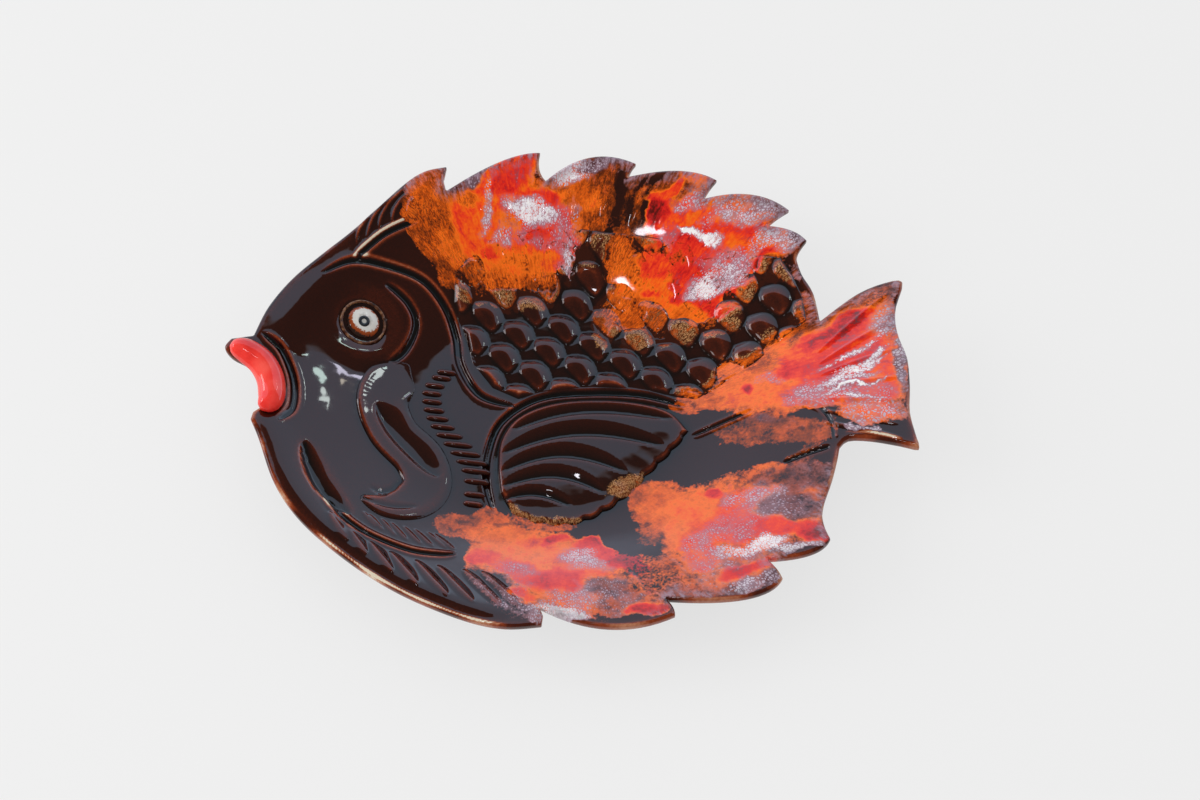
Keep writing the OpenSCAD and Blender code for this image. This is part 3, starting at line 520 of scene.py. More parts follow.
# Dabs of the bright glaze, each laid over those before it: place, half sizes in mm and turn;
# then how much glaze, its warmth (0 brown, 0.5 orange, 1 deep red) and how much white foam.
dabs = [
    # the broad pours
    (-0.4, 0.8, 27, 19, -75, 0.9, 0.36, 0), (-0.15, 0.75, 36, 35, 75, 0.95, 0.62, 0.1),
    (0.08, 0.81, 26, 21, -90, 0.8, 0.4, 0.1), (0.27, 0.78, 28, 21, 85, 0.75, 0.27, 0),
    (0.46, 0.82, 28, 18, -20, 0.9, 0.5, 0.2), (0.52, 0.57, 40, 31, -25, 0.95, 0.7, 0.1),
    (0.75, 0.67, 25, 20, -15, 0.9, 0.5, 0.4), (0.3, 0.48, 24, 21, -25, 0.9, 0.42, 0),
    (0.78, 0.07, 31, 25, 5, 0.95, 0.55, 0.1), (1.05, 0.08, 38, 31, -85, 0.9, 0.65, 0.3),
    (0.71, -0.49, 43, 32, 0, 0.85, 0.5, 0.2), (0.01, -0.74, 45, 34, -25, 0.85, 0.55, 0.2),
    (0.43, -0.77, 32, 18, -10, 0.6, 0.4, 0.2), (0.64, -0.76, 23, 17, 0, 0.85, 0.5, 0.3),
    (0.24, -0.87, 28, 15, -10, 0.7, 0.45, 0.3),
    # first tooth and the run below it
    (-0.42, 0.87, 16, 15, 55, 1, 0.42, 0), (-0.48, 0.78, 10, 7, -70, 1, 0.36, 0),
    (-0.38, 0.7, 20, 14, -70, 1, 0.36, 0), (-0.31, 0.57, 13, 13, 20, 0.9, 0.3, 0),
    (-0.35, 0.66, 13, 5, -60, 1, 0.44, 0), (-0.32, 0.9, 7, 5, 35, 0.7, 0.2, 0.25),
    # first patch of the back
    (-0.18, 0.94, 22, 13, 30, 1, 0.75, 0.2), (-0.07, 0.99, 8, 7, -35, 1, 0.78, 0),
    (-0.23, 0.97, 14, 4, 35, 0.8, 0.3, 0.6), (-0.27, 0.92, 7, 5, 45, 0.75, 0.3, 0.5),
    (-0.27, 0.78, 13, 11, -80, 1, 0.62, 0), (-0.3, 0.84, 6, 5, 15, 1, 0.42, 0),
    (-0.26, 0.68, 11, 9, -65, 1, 0.6, 0.05), (-0.22, 0.81, 17, 4, 80, 1, 0.6, 0.7),
    (-0.18, 0.69, 12, 5, 65, 1, 0.7, 0.7), (-0.06, 0.86, 18, 5, -5, 1, 0.78, 0.1),
    (-0.02, 0.74, 20, 16, 0, 1, 0.8, 0.55), (-0.13, 0.77, 8, 6, 5, 1, 0.5, 0.3),
    (-0.07, 0.81, 14, 8, -15, 1, 0.7, 0.9), (0.02, 0.74, 8, 6, 0, 1, 0.78, 0.5),
    (-0.04, 0.71, 7, 3, 20, 1, 0.8, 0.2), (0.08, 0.95, 15, 8, 20, 1, 0.6, 0.85),
    (0.02, 0.98, 8, 4, 20, 1, 0.6, 0.9), (0.13, 0.85, 10, 7, -70, 1, 0.46, 0),
    (0.1, 0.78, 13, 3, -90, 1, 0.5, 0.4), (0.02, 0.65, 13, 11, 0, 1, 0.78, 0.45),
    (0.07, 0.61, 13, 3, -80, 1, 0.6, 0.75), (-0.12, 0.61, 24, 11, -5, 1, 0.5, 0),
    (-0.21, 0.64, 6, 4, 5, 1, 0.7, 0), (-0.04, 0.62, 13, 5, 20, 1, 0.48, 0),
    (-0.18, 0.54, 19, 7, 5, 1, 0.4, 0), (-0.26, 0.5, 9, 7, 10, 0.8, 0.3, 0),
    (-0.02, 0.54, 12, 8, 20, 1, 0.36, 0), (-0.07, 0.47, 12, 7, 10, 0.75, 0.3, 0),
    (-0.17, 0.47, 8, 6, 5, 0.75, 0.32, 0),
    # brown runs between the two patches
    (0.22, 0.94, 17, 14, -15, 0.85, 0.3, 0.1), (0.18, 0.98, 14, 4, 10, 0.75, 0.25, 0.55),
    (0.24, 0.79, 20, 11, 80, 0.8, 0.24, 0), (0.19, 0.67, 10, 6, -90, 0.6, 0.18, 0),
    (0.2, 0.74, 9, 8, -60, 0.85, 0.3, 0), (0.13, 0.63, 7, 7, -65, 0.55, 0.2, 0),
    (0.15, 0.53, 11, 8, -85, 0, 0.1, 0), (0.25, 0.88, 11, 3, 80, 0.2, 0.1, 0),
    (0.31, 0.74, 17, 7, 75, 0.8, 0.26, 0), (0.37, 0.78, 10, 7, -85, 1, 0.92, 0),
    (0.34, 0.81, 11, 3, 75, 0.3, 0.1, 0),
    # third tooth
    (0.43, 0.91, 23, 10, -15, 0.8, 0.3, 0.15), (0.42, 0.87, 14, 3, 25, 1, 0.72, 0),
    (0.51, 0.91, 10, 5, -25, 0.9, 0.6, 0.35), (0.49, 0.81, 12, 5, 15, 1, 0.72, 0.65),
    (0.37, 0.92, 8, 2, 55, 0.2, 0.1, 0), (0.32, 0.89, 7, 2, 55, 0.2, 0.1, 0),
    # second patch of the back
    (0.24, 0.62, 17, 11, -75, 1, 0.38, 0), (0.3, 0.54, 16, 11, -10, 1, 0.46, 0),
    (0.35, 0.59, 11, 8, -75, 1, 0.7, 0), (0.32, 0.51, 13, 6, -10, 1, 0.52, 0),
    (0.41, 0.45, 14, 7, -30, 1, 0.52, 0), (0.35, 0.48, 5, 2, 10, 1, 0.85, 0),
    (0.43, 0.65, 14, 5, -60, 1, 0.7, 0.65), (0.49, 0.61, 15, 13, -60, 1, 0.77, 0.05),
    (0.42, 0.71, 7, 6, -25, 1, 0.74, 0.3), (0.66, 0.69, 19, 12, -20, 1, 0.76, 0.2),
    (0.65, 0.61, 9, 8, 0, 1, 0.55, 0.1), (0.55, 0.75, 9, 4, 25, 1, 0.7, 0.5),
    (0.56, 0.57, 11, 9, -30, 1, 0.77, 0.3), (0.62, 0.55, 13, 12, -15, 1, 0.74, 0.55),
    (0.55, 0.48, 16, 9, 15, 1, 0.75, 0.88), (0.61, 0.5, 10, 8, -30, 1, 0.7, 0.7),
    (0.55, 0.67, 8, 5, -30, 1, 0.7, 0.95), (0.48, 0.7, 7, 2, -20, 1, 0.7, 1),
    (0.68, 0.74, 17, 7, 0, 0.9, 0.6, 0.7), (0.77, 0.76, 12, 4, -15, 0.75, 0.3, 0.65),
    (0.78, 0.62, 14, 9, 0, 0.95, 0.6, 0.72), (0.7, 0.59, 7, 5, -65, 1, 0.6, 0.5),
    (0.74, 0.55, 10, 4, 25, 1, 0.84, 0.1), (0.84, 0.64, 6, 6, -60, 0.8, 0.3, 0.7),
    (0.43, 0.49, 10, 4, -70, 1, 0.8, 0.2), (0.54, 0.39, 20, 8, 0, 1, 0.8, 0),
    (0.63, 0.4, 11, 6, 20, 0.9, 0.66, 0), (0.56, 0.32, 16, 6, -15, 0.85, 0.34, 0),
    (0.69, 0.43, 8, 6, 35, 0.75, 0.34, 0), (0.77, 0.47, 7, 6, -65, 0.62, 0.3, 0),
    (0.85, 0.48, 6, 4, -80, 0.65, 0.3, 0), (0.76, 0.38, 11, 9, -45, 0, 0.1, 0),
    (0.65, 0.23, 10, 8, -45, 0, 0.1, 0), (0.19, 0.37, 16, 9, 90, 0.9, 0.35, 0),
    (0.28, 0.4, 12, 10, -15, 1, 0.4, 0), (0.3, 0.29, 10, 7, 0, 0.75, 0.33, 0),
    (0.37, 0.36, 12, 8, -85, 0.9, 0.36, 0.1), (0.45, 0.32, 11, 8, -40, 0.75, 0.3, 0),
    (0.47, 0.39, 10, 6, -15, 1, 0.5, 0), (0.86, 0.28, 19, 10, -90, 0.85, 0.33, 0),
    (0.82, 0.19, 10, 9, 30, 0.9, 0.36, 0), (0.73, 0.19, 13, 5, 20, 0.85, 0.33, 0),
    # root of the tail
    (0.74, 0.13, 15, 9, 20, 1, 0.42, 0.1), (0.84, 0.15, 17, 13, -70, 1, 0.6, 0.1),
    (0.87, 0.22, 13, 8, 35, 0.9, 0.3, 0), (0.65, 0.03, 22, 13, -15, 1, 0.5, 0.1),
    (0.79, -0.02, 17, 13, -35, 1, 0.52, 0.1), (0.52, 0.03, 17, 6, -25, 0.95, 0.42, 0),
    (0.45, 0, 12, 4, -20, 0.8, 0.34, 0), (0.68, 0.15, 13, 6, 5, 0.9, 0.38, 0),
    (0.61, 0.12, 11, 7, -10, 1, 0.46, 0), (0.67, 0.04, 4, 4, -35, 1, 0.95, 0),
    (0.74, 0.06, 11, 4, -5, 1, 0.6, 0.45), (0.8, 0.08, 8, 6, -25, 1, 0.8, 0.1),
    (0.55, 0.09, 9, 4, 10, 0.9, 0.38, 0),
    # tail
    (1.04, 0.31, 28, 11, 20, 0.9, 0.34, 0), (0.99, 0.22, 27, 8, 20, 1, 0.86, 0.15),
    (1.12, 0.23, 12, 10, -90, 0.9, 0.55, 0.6), (0.97, 0.08, 25, 14, 10, 1, 0.77, 0.2),
    (1.12, 0.02, 16, 9, 90, 1, 0.62, 0.2), (1.05, 0.06, 18, 3, 25, 1, 0.7, 0.85),
    (0.91, -0.04, 21, 8, -10, 1, 0.74, 0.55), (0.99, 0, 18, 2, 10, 1, 0.7, 0.8),
    (1.08, -0.07, 11, 7, -25, 1, 0.72, 0.45), (1.06, -0.16, 20, 8, -10, 0.95, 0.6, 0.6),
    (0.84, -0.07, 11, 4, -15, 1, 0.65, 0.5), (1.17, 0.07, 22, 3, 85, 0.8, 0.3, 0.65),
    (1.08, -0.275, 25, 4, -10, 0.15, 0.15, 0.1), (1.03, -0.22, 13, 2, -15, 0.75, 0.25, 0.75),
    (1, 0.1, 20, 1, 25, 1, 0.7, 0.95), (1.03, 0.03, 20, 1, 20, 1, 0.7, 0.9),
    (1.01, -0.03, 20, 1, 5, 1, 0.7, 0.95), (1, -0.08, 18, 1, -10, 1, 0.7, 0.85),
    (1.04, 0.12, 14, 1, 30, 1, 0.7, 0.85), (1.17, 0.15, 14, 2, -90, 0.9, 0.4, 0.8),
    # from the tail to the vent
    (0.73, -0.12, 21, 4, -20, 0.75, 0.26, 0.3), (0.66, -0.16, 23, 9, -20, 0.62, 0.28, 0.05),
    (0.85, -0.2, 18, 9, -15, 0.8, 0.3, 0.1), (0.54, -0.25, 27, 6, -10, 0, 0.1, 0),
    (0.74, -0.28, 24, 5, -10, 0, 0.1, 0), (0.83, -0.28, 13, 3, 15, 0.5, 0.2, 0),
    (0.84, -0.39, 17, 11, 0, 0.62, 0.24, 0.25), (0.71, -0.38, 13, 5, -10, 0.55, 0.2, 0.1),
    # rear patch of the belly
    (0.34, -0.41, 18, 14, -85, 0.9, 0.38, 0), (0.4, -0.46, 23, 13, -85, 1, 0.44, 0),
    (0.49, -0.47, 18, 13, -80, 1, 0.52, 0.02), (0.42, -0.6, 14, 11, -80, 1, 0.5, 0.05),
    (0.55, -0.41, 7, 3, -25, 1, 0.8, 0.05), (0.67, -0.49, 17, 14, 20, 1, 0.68, 0.6),
    (0.59, -0.57, 19, 14, 25, 1, 0.72, 0.4), (0.5, -0.64, 13, 9, 25, 1, 0.7, 0.5),
    (0.75, -0.5, 13, 9, 10, 0.85, 0.3, 0.4), (0.74, -0.6, 13, 7, 5, 1, 0.75, 0.25),
    (0.82, -0.53, 11, 8, 5, 0.6, 0.25, 0.35), (0.7, -0.67, 13, 5, 5, 1, 0.6, 0.9),
    (0.85, -0.64, 10, 7, -10, 0.85, 0.86, 0.1), (0.8, -0.7, 15, 3, 5, 0.85, 0.4, 0.85),
    # front patch of the belly
    (-0.28, -0.51, 15, 11, 10, 0.72, 0.3, 0), (-0.2, -0.45, 7, 6, 5, 0.8, 0.34, 0),
    (-0.15, -0.56, 15, 14, 5, 1, 0.46, 0), (-0.04, -0.62, 21, 13, -15, 1, 0.52, 0.03),
    (-0.2, -0.68, 11, 8, 35, 0.85, 0.7, 0.1), (-0.15, -0.47, 7, 5, 0, 0.85, 0.38, 0),
    (-0.09, -0.76, 18, 11, -20, 1, 0.72, 0.4), (0.07, -0.78, 22, 9, 0, 1, 0.78, 0.1),
    (0.14, -0.66, 15, 13, -20, 1, 0.7, 0.66), (0.03, -0.57, 7, 4, 35, 1, 0.85, 0.1),
    (0.14, -0.58, 11, 5, -5, 0.9, 0.85, 0.1), (0.21, -0.64, 12, 8, -70, 0.95, 0.85, 0.1),
    (-0.17, -0.81, 19, 11, -35, 0.45, 0.25, 0.3), (-0.09, -0.89, 16, 11, -30, 0.6, 0.3, 0.5),
    (-0.02, -0.96, 6, 6, -5, 0.8, 0.4, 0.6), (-0.06, -0.86, 9, 4, -30, 0.9, 0.7, 0.3),
    (0.11, -0.88, 19, 9, -10, 0.95, 0.55, 0.5), (0.06, -0.94, 17, 4, -15, 1, 0.6, 0.95),
    (0.21, -0.83, 16, 8, -20, 0.75, 0.35, 0.45), (0.24, -0.92, 15, 7, -5, 0.8, 0.4, 0.4),
    (0.33, -0.93, 12, 4, 10, 0.8, 0.8, 0.05), (0.28, -0.71, 16, 7, -50, 0.5, 0.8, 0.1),
    (0.36, -0.82, 17, 9, -5, 0.5, 0.5, 0.2), (0.46, -0.87, 19, 6, -5, 0.6, 0.4, 0.3),
    (0.32, -0.57, 10, 9, -70, 0.6, 0.28, 0), (0.24, -0.58, 10, 9, -75, 0, 0.1, 0),
    (0.55, -0.8, 15, 8, 10, 0.8, 0.5, 0.45), (0.64, -0.78, 17, 4, 20, 1, 0.8, 0.2),
    (0.65, -0.85, 15, 5, 10, 0.8, 0.4, 0.65), (0.58, -0.7, 13, 5, 5, 1, 0.6, 0.8),
    (0.5, -0.72, 11, 9, 10, 1, 0.65, 0.45), (0.72, -0.82, 7, 6, -90, 0.7, 0.3, 0.6),
    # tips, the dark band and the fin's border
    (0.648, 0.802, 26, 8, -18, 0.9, 0.55, 0.55), (0.743, 0.779, 14, 5, -20, 0.8, 0.4, 0.6),
    (0.133, 0.552, 11, 5, -75, 0.05, 0.1, 0), (0.174, 0.656, 11, 4, 75, 0.2, 0.12, 0),
    (0.22, 0.748, 12, 3, 80, 0.35, 0.16, 0), (0.272, 0.817, 10, 3, 60, 0.45, 0.2, 0.1),
    (-0.09, -0.445, 7, 3, -40, 0.62, 0.34, 0), (-0.034, -0.485, 13, 4, -15, 0.72, 0.34, 0),
    (0.045, -0.497, 13, 4, 8, 0.7, 0.34, 0), (0.247, -0.336, 10, 6, 20, 0.66, 0.32, 0),
    (0.773, 0.508, 9, 7, -40, 0.66, 0.3, 0), (0.852, 0.461, 7, 6, -40, 0.62, 0.3, 0),
]


waves = [(31, 1.6), (23, 1.3), (14, 1.0), (9, 0.8), (6, 0.6), (4.3, 0.5)]   # length and size in mm


def wander(points):
    # bends the dabs, so that none of them has a drawn edge
    out = points.copy()
    for k, (length, size) in enumerate(waves):
        a = 2.4 * k + 0.7
        across = points[:, 0] * math.cos(a) + points[:, 1] * math.sin(a)
        wave = np.sin(across * 2 * math.pi / length + k)
        out += size * wave[:, None] * np.array([-math.sin(1.7 * a), math.cos(1.3 * a)])
    return out


def glazeFields(points):
    at = wander(points)
    cover, warmth, foam = np.zeros(len(at)), np.full(len(at), 0.25), np.zeros(len(at))
    for x, y, rx, ry, turn, much, hot, froth in dabs:
        a = math.radians(turn)
        dx, dy = (at - place((x, y))).T
        u = (dx * math.cos(a) + dy * math.sin(a)) / rx
        v = (-dx * math.sin(a) + dy * math.cos(a)) / ry
        w = soften((1.35 - np.hypot(u, v)) / 0.75)
        cover += (much - cover) * w
        warmth += (hot - warmth) * w
        foam += (froth - foam) * w
    return cover, warmth, foam


# How the glaze runs: thin over what stands out, thick in what lies low.

glazeGrid = dict(
    step=0.8, size=(200, 165),     # of the grid, and half the plan that it covers
    fine=1.5, broad=4.5,           # what counts as an edge, and what as a ridge or hollow
    fineRelief=0.35, broadRelief=1.6,   # height over them that thins the glaze fully
)
creamAndHighlightLines = [  # cream lines along edges where the glaze ran thin, and painted highlights: line, offset, width
    # along the nape groove: partly a cream line of thin glaze, partly a painted highlight
    (grooves["nape"][0], 2.4, 0.8),
    # along the tail's lower edge: a cream line where the glaze has run off the edge
    ([(0.965, -0.225), (1.05, -0.245), (1.15, -0.285)], 0, 0.8),
    # along the belly rim: a painted highlight on the rounding of the rim
    (outline["belly"][4:9], 1.4, 0.45),
]


def blurred(field, sigma):
    r = int(3 * sigma / glazeGrid["step"]) + 1
    w = np.exp(-0.5 * (np.arange(-r, r + 1) * glazeGrid["step"] / sigma) ** 2)
    w /= w.sum()
    for axis in (0, 1):
        pad = [(r, r) if k == axis else (0, 0) for k in (0, 1)]
        big = np.pad(field, pad, mode="edge")
        n = field.shape[axis]
        field = sum(w[k] * (big[k:k + n] if axis == 0 else big[:, k:k + n])
                    for k in range(2 * r + 1))
    return field


def makeGlazeMap():
    # the height of all the relief on a grid, and how far it stands out over what is round it
    xs, ys = (np.arange(-half, half, glazeGrid["step"]) for half in glazeGrid["size"])
    gx, gy = np.meshgrid(xs, ys, indexing="ij")
    p = np.stack([gx.ravel(), gy.ravel()], -1)
    h = bodyRelief(p)
    inside = insideOf(p, scaleEdge)
    h[inside] = np.maximum(h[inside], scaleRelief(p[inside]))
    for inside, relief in ((insideOf(p, finEdge), finRelief), (insideOf(p, flapEdge), flapRelief)):
        h[inside] = relief(p[inside])
    for a, b in ribEnds:
        near = np.linalg.norm(p - (a + b) / 2, axis=1) < 14
        d, t, _ = lineField(p[near], np.array([a, b]))
        bump = 0.55 * ribs["height"] * np.cos(np.minimum(d / ribs["width"], 0.5) * math.pi)
        h[near] = np.maximum(h[near], bump * fullness(t, 4))
    d, _, _ = lineField(p, rimClosed)
    edge = dish["edge"]
    rounded = h - edge + np.sqrt(edge ** 2 - np.maximum(edge - d, 0) ** 2)
    h = np.maximum(np.where(insideOf(p, rimLine), rounded, -d * 1.5), -4).reshape(gx.shape)
    thin = ((h - blurred(h, glazeGrid["fine"])) / glazeGrid["fineRelief"]
            + (h - blurred(h, glazeGrid["broad"])) / glazeGrid["broadRelief"])
    return xs, ys, thin


mapX, mapY, thinMap = makeGlazeMap()


def sampleMap(points):
    fx = np.clip((points[:, 0] - mapX[0]) / glazeGrid["step"], 0, len(mapX) - 1.001)
    fy = np.clip((points[:, 1] - mapY[0]) / glazeGrid["step"], 0, len(mapY) - 1.001)
    ix, iy = fx.astype(int), fy.astype(int)
    tx, ty = fx - ix, fy - iy
    return ((1 - tx) * (1 - ty) * thinMap[ix, iy] + tx * (1 - ty) * thinMap[ix + 1, iy]
            + (1 - tx) * ty * thinMap[ix, iy + 1] + tx * ty * thinMap[ix + 1, iy + 1])


# Making a patch of surface: filled, refined and laid on the dish.

def edgeTargets(points, loop, fine, coarse, growth):
    d, _, _ = lineField(points, loop)
    return np.clip(fine + growth * (d - 1.5), fine, coarse)


def drawLoop(bm, loop, z):
    verts = [bm.verts.new((x, y, z)) for x, y in loop]
    return [bm.edges.new((a, b)) for a, b in zip(verts, verts[1:] + verts[:1])]


def fillSheet(bm, loop, z, fine, wanted):
    # an outline filled with triangles whose size follows wanted(points): a lattice of
    # even triangles, each coarser level a part of the finer one, joined to the outline
    rise = fine * 0.866   # between the rows of even triangles
    low, high = loop.min(axis=0), loop.max(axis=0)
    rows = np.arange(int((high[1] - low[1]) / rise) + 2)
    cols = np.arange(-len(rows), int((high[0] - low[0]) / fine) + 2)
    i, j = (g.ravel() for g in np.meshgrid(cols, rows, indexing="ij"))
    p = low + np.stack([(i + j / 2) * fine, j * rise], -1)
    keep = (p[:, 0] > low[0]) & (p[:, 0] < high[0])
    i, j, p = i[keep], j[keep], p[keep]
    keep = insideOf(p, loop)
    i, j, p = i[keep], j[keep], p[keep]
    size = fine * 2 ** np.floor(np.log2(np.maximum(wanted(p) / fine, 1)))
    step = np.maximum(size / fine, 1).astype(int)
    d, _, _ = lineField(p, closed(loop))
    keep = (i % step == 0) & (j % step == 0) & (d > 0.55 * size)
    points = np.vstack([loop, p[keep]])
    n = len(loop)
    border = [(k, (k + 1) % n) for k in range(n)]
    verts, _, faces, *_ = geometry.delaunay_2d_cdt([Vector(q) for q in points], border,
                                                   [list(range(n))], 1, 1e-5)
    mesh = bpy.data.meshes.new("sheet")
    mesh.from_pydata([(*v, z) for v in verts], [], faces)
    sheet = bmesh.new()
    sheet.from_mesh(mesh)
    inner = [v for v in sheet.verts if not v.is_boundary]
    for _ in range(2):
        bmesh.ops.smooth_vert(sheet, verts=inner, factor=0.5,
                              use_axis_x=True, use_axis_y=True, use_axis_z=False)
    sheet.to_mesh(mesh)
    sheet.free()
    bm.from_mesh(mesh)
    bpy.data.meshes.remove(mesh)


def inwardOf(loop):
    run = np.roll(loop, -1, axis=0) - np.roll(loop, 1, axis=0)
    run /= np.linalg.norm(run, axis=1)[:, None]
    return np.stack([-run[:, 1], run[:, 0]], -1)


rimGlaze = dict(  # over the rounding of the rim the glaze is thin, and by how much it varies
    width=2.8, soft=1.4, thin=2.1, swell=1.3, head=1.4,
    cream=3.2,   # how much a cream line adds to the thin reading, the painted highlight lines as well
    radius=130,  # at which places round the dish are measured
)


def glazeData(points, name):
    # what the glaze's material reads at each point of a piece
    x, y = points.T
    cover, warmth, foam = glazeFields(points)
    edge, _, _ = lineField(points, rimClosed)
    swell = np.sin(x / 9 + 2 * np.sin(y / 13)) * np.sin(y / 7 + 1.3 * np.sin(x / 17))
    lip = soften((rimGlaze["width"] - edge) / rimGlaze["soft"])
    head = soften((-50 - x) / 40) * soften(y / 30)
    over = rimGlaze["thin"] + rimGlaze["swell"] * swell - rimGlaze["head"] * head
    thin = sampleMap(points) * (1 - lip) + over * lip
    # cream lines and painted highlights raise the thin reading, so the brown turns cream along them
    for line, out, width in creamAndHighlightLines:
        d, t, side = lineField(points, smoothLine(place(line), 8))
        thin += rimGlaze["cream"] * fullness(t, 3) * np.exp(-((side * d - out) / width) ** 2)
    # how far a scale stands up there; the fin counts as up, and what has no scales as none
    domed = np.full(len(points), 0.9 if name == "sideFin" else -1.0)
    if name == "scaleField":
        domed = np.clip(scaleRelief(points) / scales["crest"], 0, 1)
    return {"thin": thin, "cover": cover, "warmth": warmth, "foam": foam, "edge": edge,
            "wall": np.linalg.norm(slopeAt(points), axis=1), "domed": domed,
            "run": soften((y + 30) / 60)}   # the glaze ran on the back, and hardly on the belly


def finish(bm, name, materials, replaces):
    # points in millimetres become a mesh in metres, with the glaze's own data on it
    bmesh.ops.remove_doubles(bm, verts=bm.verts, dist=0.002)
    bmesh.ops.recalc_face_normals(bm, faces=bm.faces)
    points = np.array([v.co.xy for v in bm.verts])
    bmesh.ops.scale(bm, vec=(mm, mm, mm), verts=bm.verts)
    mesh = bpy.data.meshes.new(name)
    bm.to_mesh(mesh)
    bm.free()
    mesh.shade_smooth()
    for key, value in glazeData(points, name).items():
        data = mesh.attributes.new(key, "FLOAT", "POINT").data
        data.foreach_set("value", value.astype(np.float32))
    # the glaze ran outwards: place round the dish, and out from its middle
    out = points - centre
    around = np.arctan2(out[:, 1], out[:, 0]) * rimGlaze["radius"]
    flow = np.stack([around, np.hypot(out[:, 0], out[:, 1]), np.zeros(len(out))], -1) * mm
    data = mesh.attributes.new("flow", "FLOAT_VECTOR", "POINT").data
    data.foreach_set("vector", flow.astype(np.float32).ravel())
    piece = bpy.data.objects.new(name, mesh)
    bpy.context.collection.objects.link(piece)
    for material in materials:
        mesh.materials.append(material)
    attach(piece, "root")
    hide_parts(*replaces)
    print(name, "made,", len(mesh.polygons), "faces")


# Materials.

def hexColour(text):
    c = [int(text[k:k + 2], 16) / 255 for k in (1, 3, 5)]
    return (*[v / 12.92 if v <= 0.04045 else ((v + 0.055) / 1.055) ** 2.4 for v in c], 1)


def addNode(tree, kind, *inputs, output=0, stops=(), sockets=None, **settings):
    # adds a node, "Kind" or "Kind OPERATION"; numbers, colours and other nodes' outputs fill its
    # sockets in their order, or by name
    kind, *operation = kind.split()
    node = tree.nodes.new("ShaderNode" + kind)
    if operation:
        node.operation = operation[0]
    for key, value in settings.items():
        setattr(node, key, value)
    for key, value in [*enumerate(inputs), *(sockets or {}).items()]:
        if isinstance(value, bpy.types.NodeSocket):
            tree.links.new(value, node.inputs[key])
        elif value is not None:
            node.inputs[key].default_value = hexColour(value) if isinstance(value, str) else value
    if stops:
        ramp = node.color_ramp.elements
        while len(ramp) < len(stops):
            ramp.new(0.5)
        for element, (at, colour) in zip(ramp, stops):
            element.position = at
            element.color = hexColour(colour)
    return node.outputs[output] if node.outputs else None


def newMaterial(name):
    material = bpy.data.materials.new(name)
    material.use_nodes = True
    material.node_tree.nodes.clear()
    return material, partial(addNode, material.node_tree)


def perMetre(size, *others):
    # scale of a pattern from its size in millimetres, with its detail and roughness
    return (1 / (size * mm), *others)


def layered(add, colour, layers):
    # lays colours over each other: where, how strongly, and what
    for where, strength, over in layers:
        colour = add("Mix", add("Math MULTIPLY", where, strength), output=2,
                     sockets={6: colour, 7: over}, data_type="RGBA")
    return colour


# Gloss earthenware glaze, brown, poured over a red body, with thick dabs of a bright glaze
# that foams in the kiln. The brown breaks to rust where it is thin over an edge and turns
# nearly black where it pools. The bright one runs outwards, and its foam dries as lace.
glaze = dict(
    brownStops=[(0.0, "#05090a"), (0.2, "#0b0808"), (0.36, "#1c0906"), (0.52, "#2c0e07"),
                (0.66, "#47180a"), (0.8, "#86381a"), (0.92, "#b5795a"), (1.0, "#dccfb8")],
    brightStops=[(0.0, "#190904"), (0.14, "#4a1c08"), (0.27, "#9a3f08"), (0.38, "#dc5a0c"),
                 (0.5, "#ff7418"), (0.6, "#fb5a14"), (0.7, "#f03a1c"), (0.82, "#d81f1a"),
                 (0.92, "#9c1614"), (1.0, "#58100c")],
    foamStops=[(0.3, "#a58595"), (0.5, "#b8a0b0"), (0.68, "#cdbecb"), (0.85, "#e9e3ea"),
               (1.0, "#fbf8f8")],
    fleck="#341106", tan="#bd8a5a", haze="#a08796", dusk="#4a2832", rimBrown="#4a2a22",
    veil=0.8,                           # strength of smoke, dusk, haze and the dull rim
    roughness=0.035, foamRoughness=0.05, index=1.6,
    drop=1.15, run=1.9,                 # mm across a drop of foam, and how far the run draws it out
    # patterns: mm across, detail and roughness
    wobble=(7.692, 3), broad=(11.11, 5, 0.6), streaks=(1.923, 4, 0.6), fine=(1.5385, 3),
    threads=(1.1111, 2), clouds=(4.762, 4, 0.65), veils=(14.286, 4, 0.6), swells=(11.11, 1),
    bend=0.004, drawnOut=0.22,          # m that the wobble shifts them; how streaks are stretched
    swellHeight=0.00009,                # m
)
glazeLimits = dict(  # each mask: where it is nought, and where it is full
    thread=(0.07, 0.01), threadWarmth=(0.52, 0.36),
    cloud=(0.52, 0.36), cloudWarmth=(0.75, 0.45), cloudCover=(1.02, 0.8),
    duskFoam=(0.1, 0.45), duskWarmth=(0.56, 0.32), haze=(0.2, 0.7), veils=(0.36, 0.56),
    drops=(0.0, 0.07), foam=(0.26, 0.5), dullEdge=(9.0, 2.5), dull=(-0.22, 0.12),
    rimStreaks=(0.42, 0.6), rim=(3.0, 0.6), lies=(0.44, 0.6),
    borderIn=(0.28, 0.45), borderOut=(0.98, 0.82), raised=(-0.5, -0.1), valley=(0.5, 0.2),
    crest=(0.4, 0.8), crestEdge=(1.5, 4.0), lace=(0.06, 0.2),
)


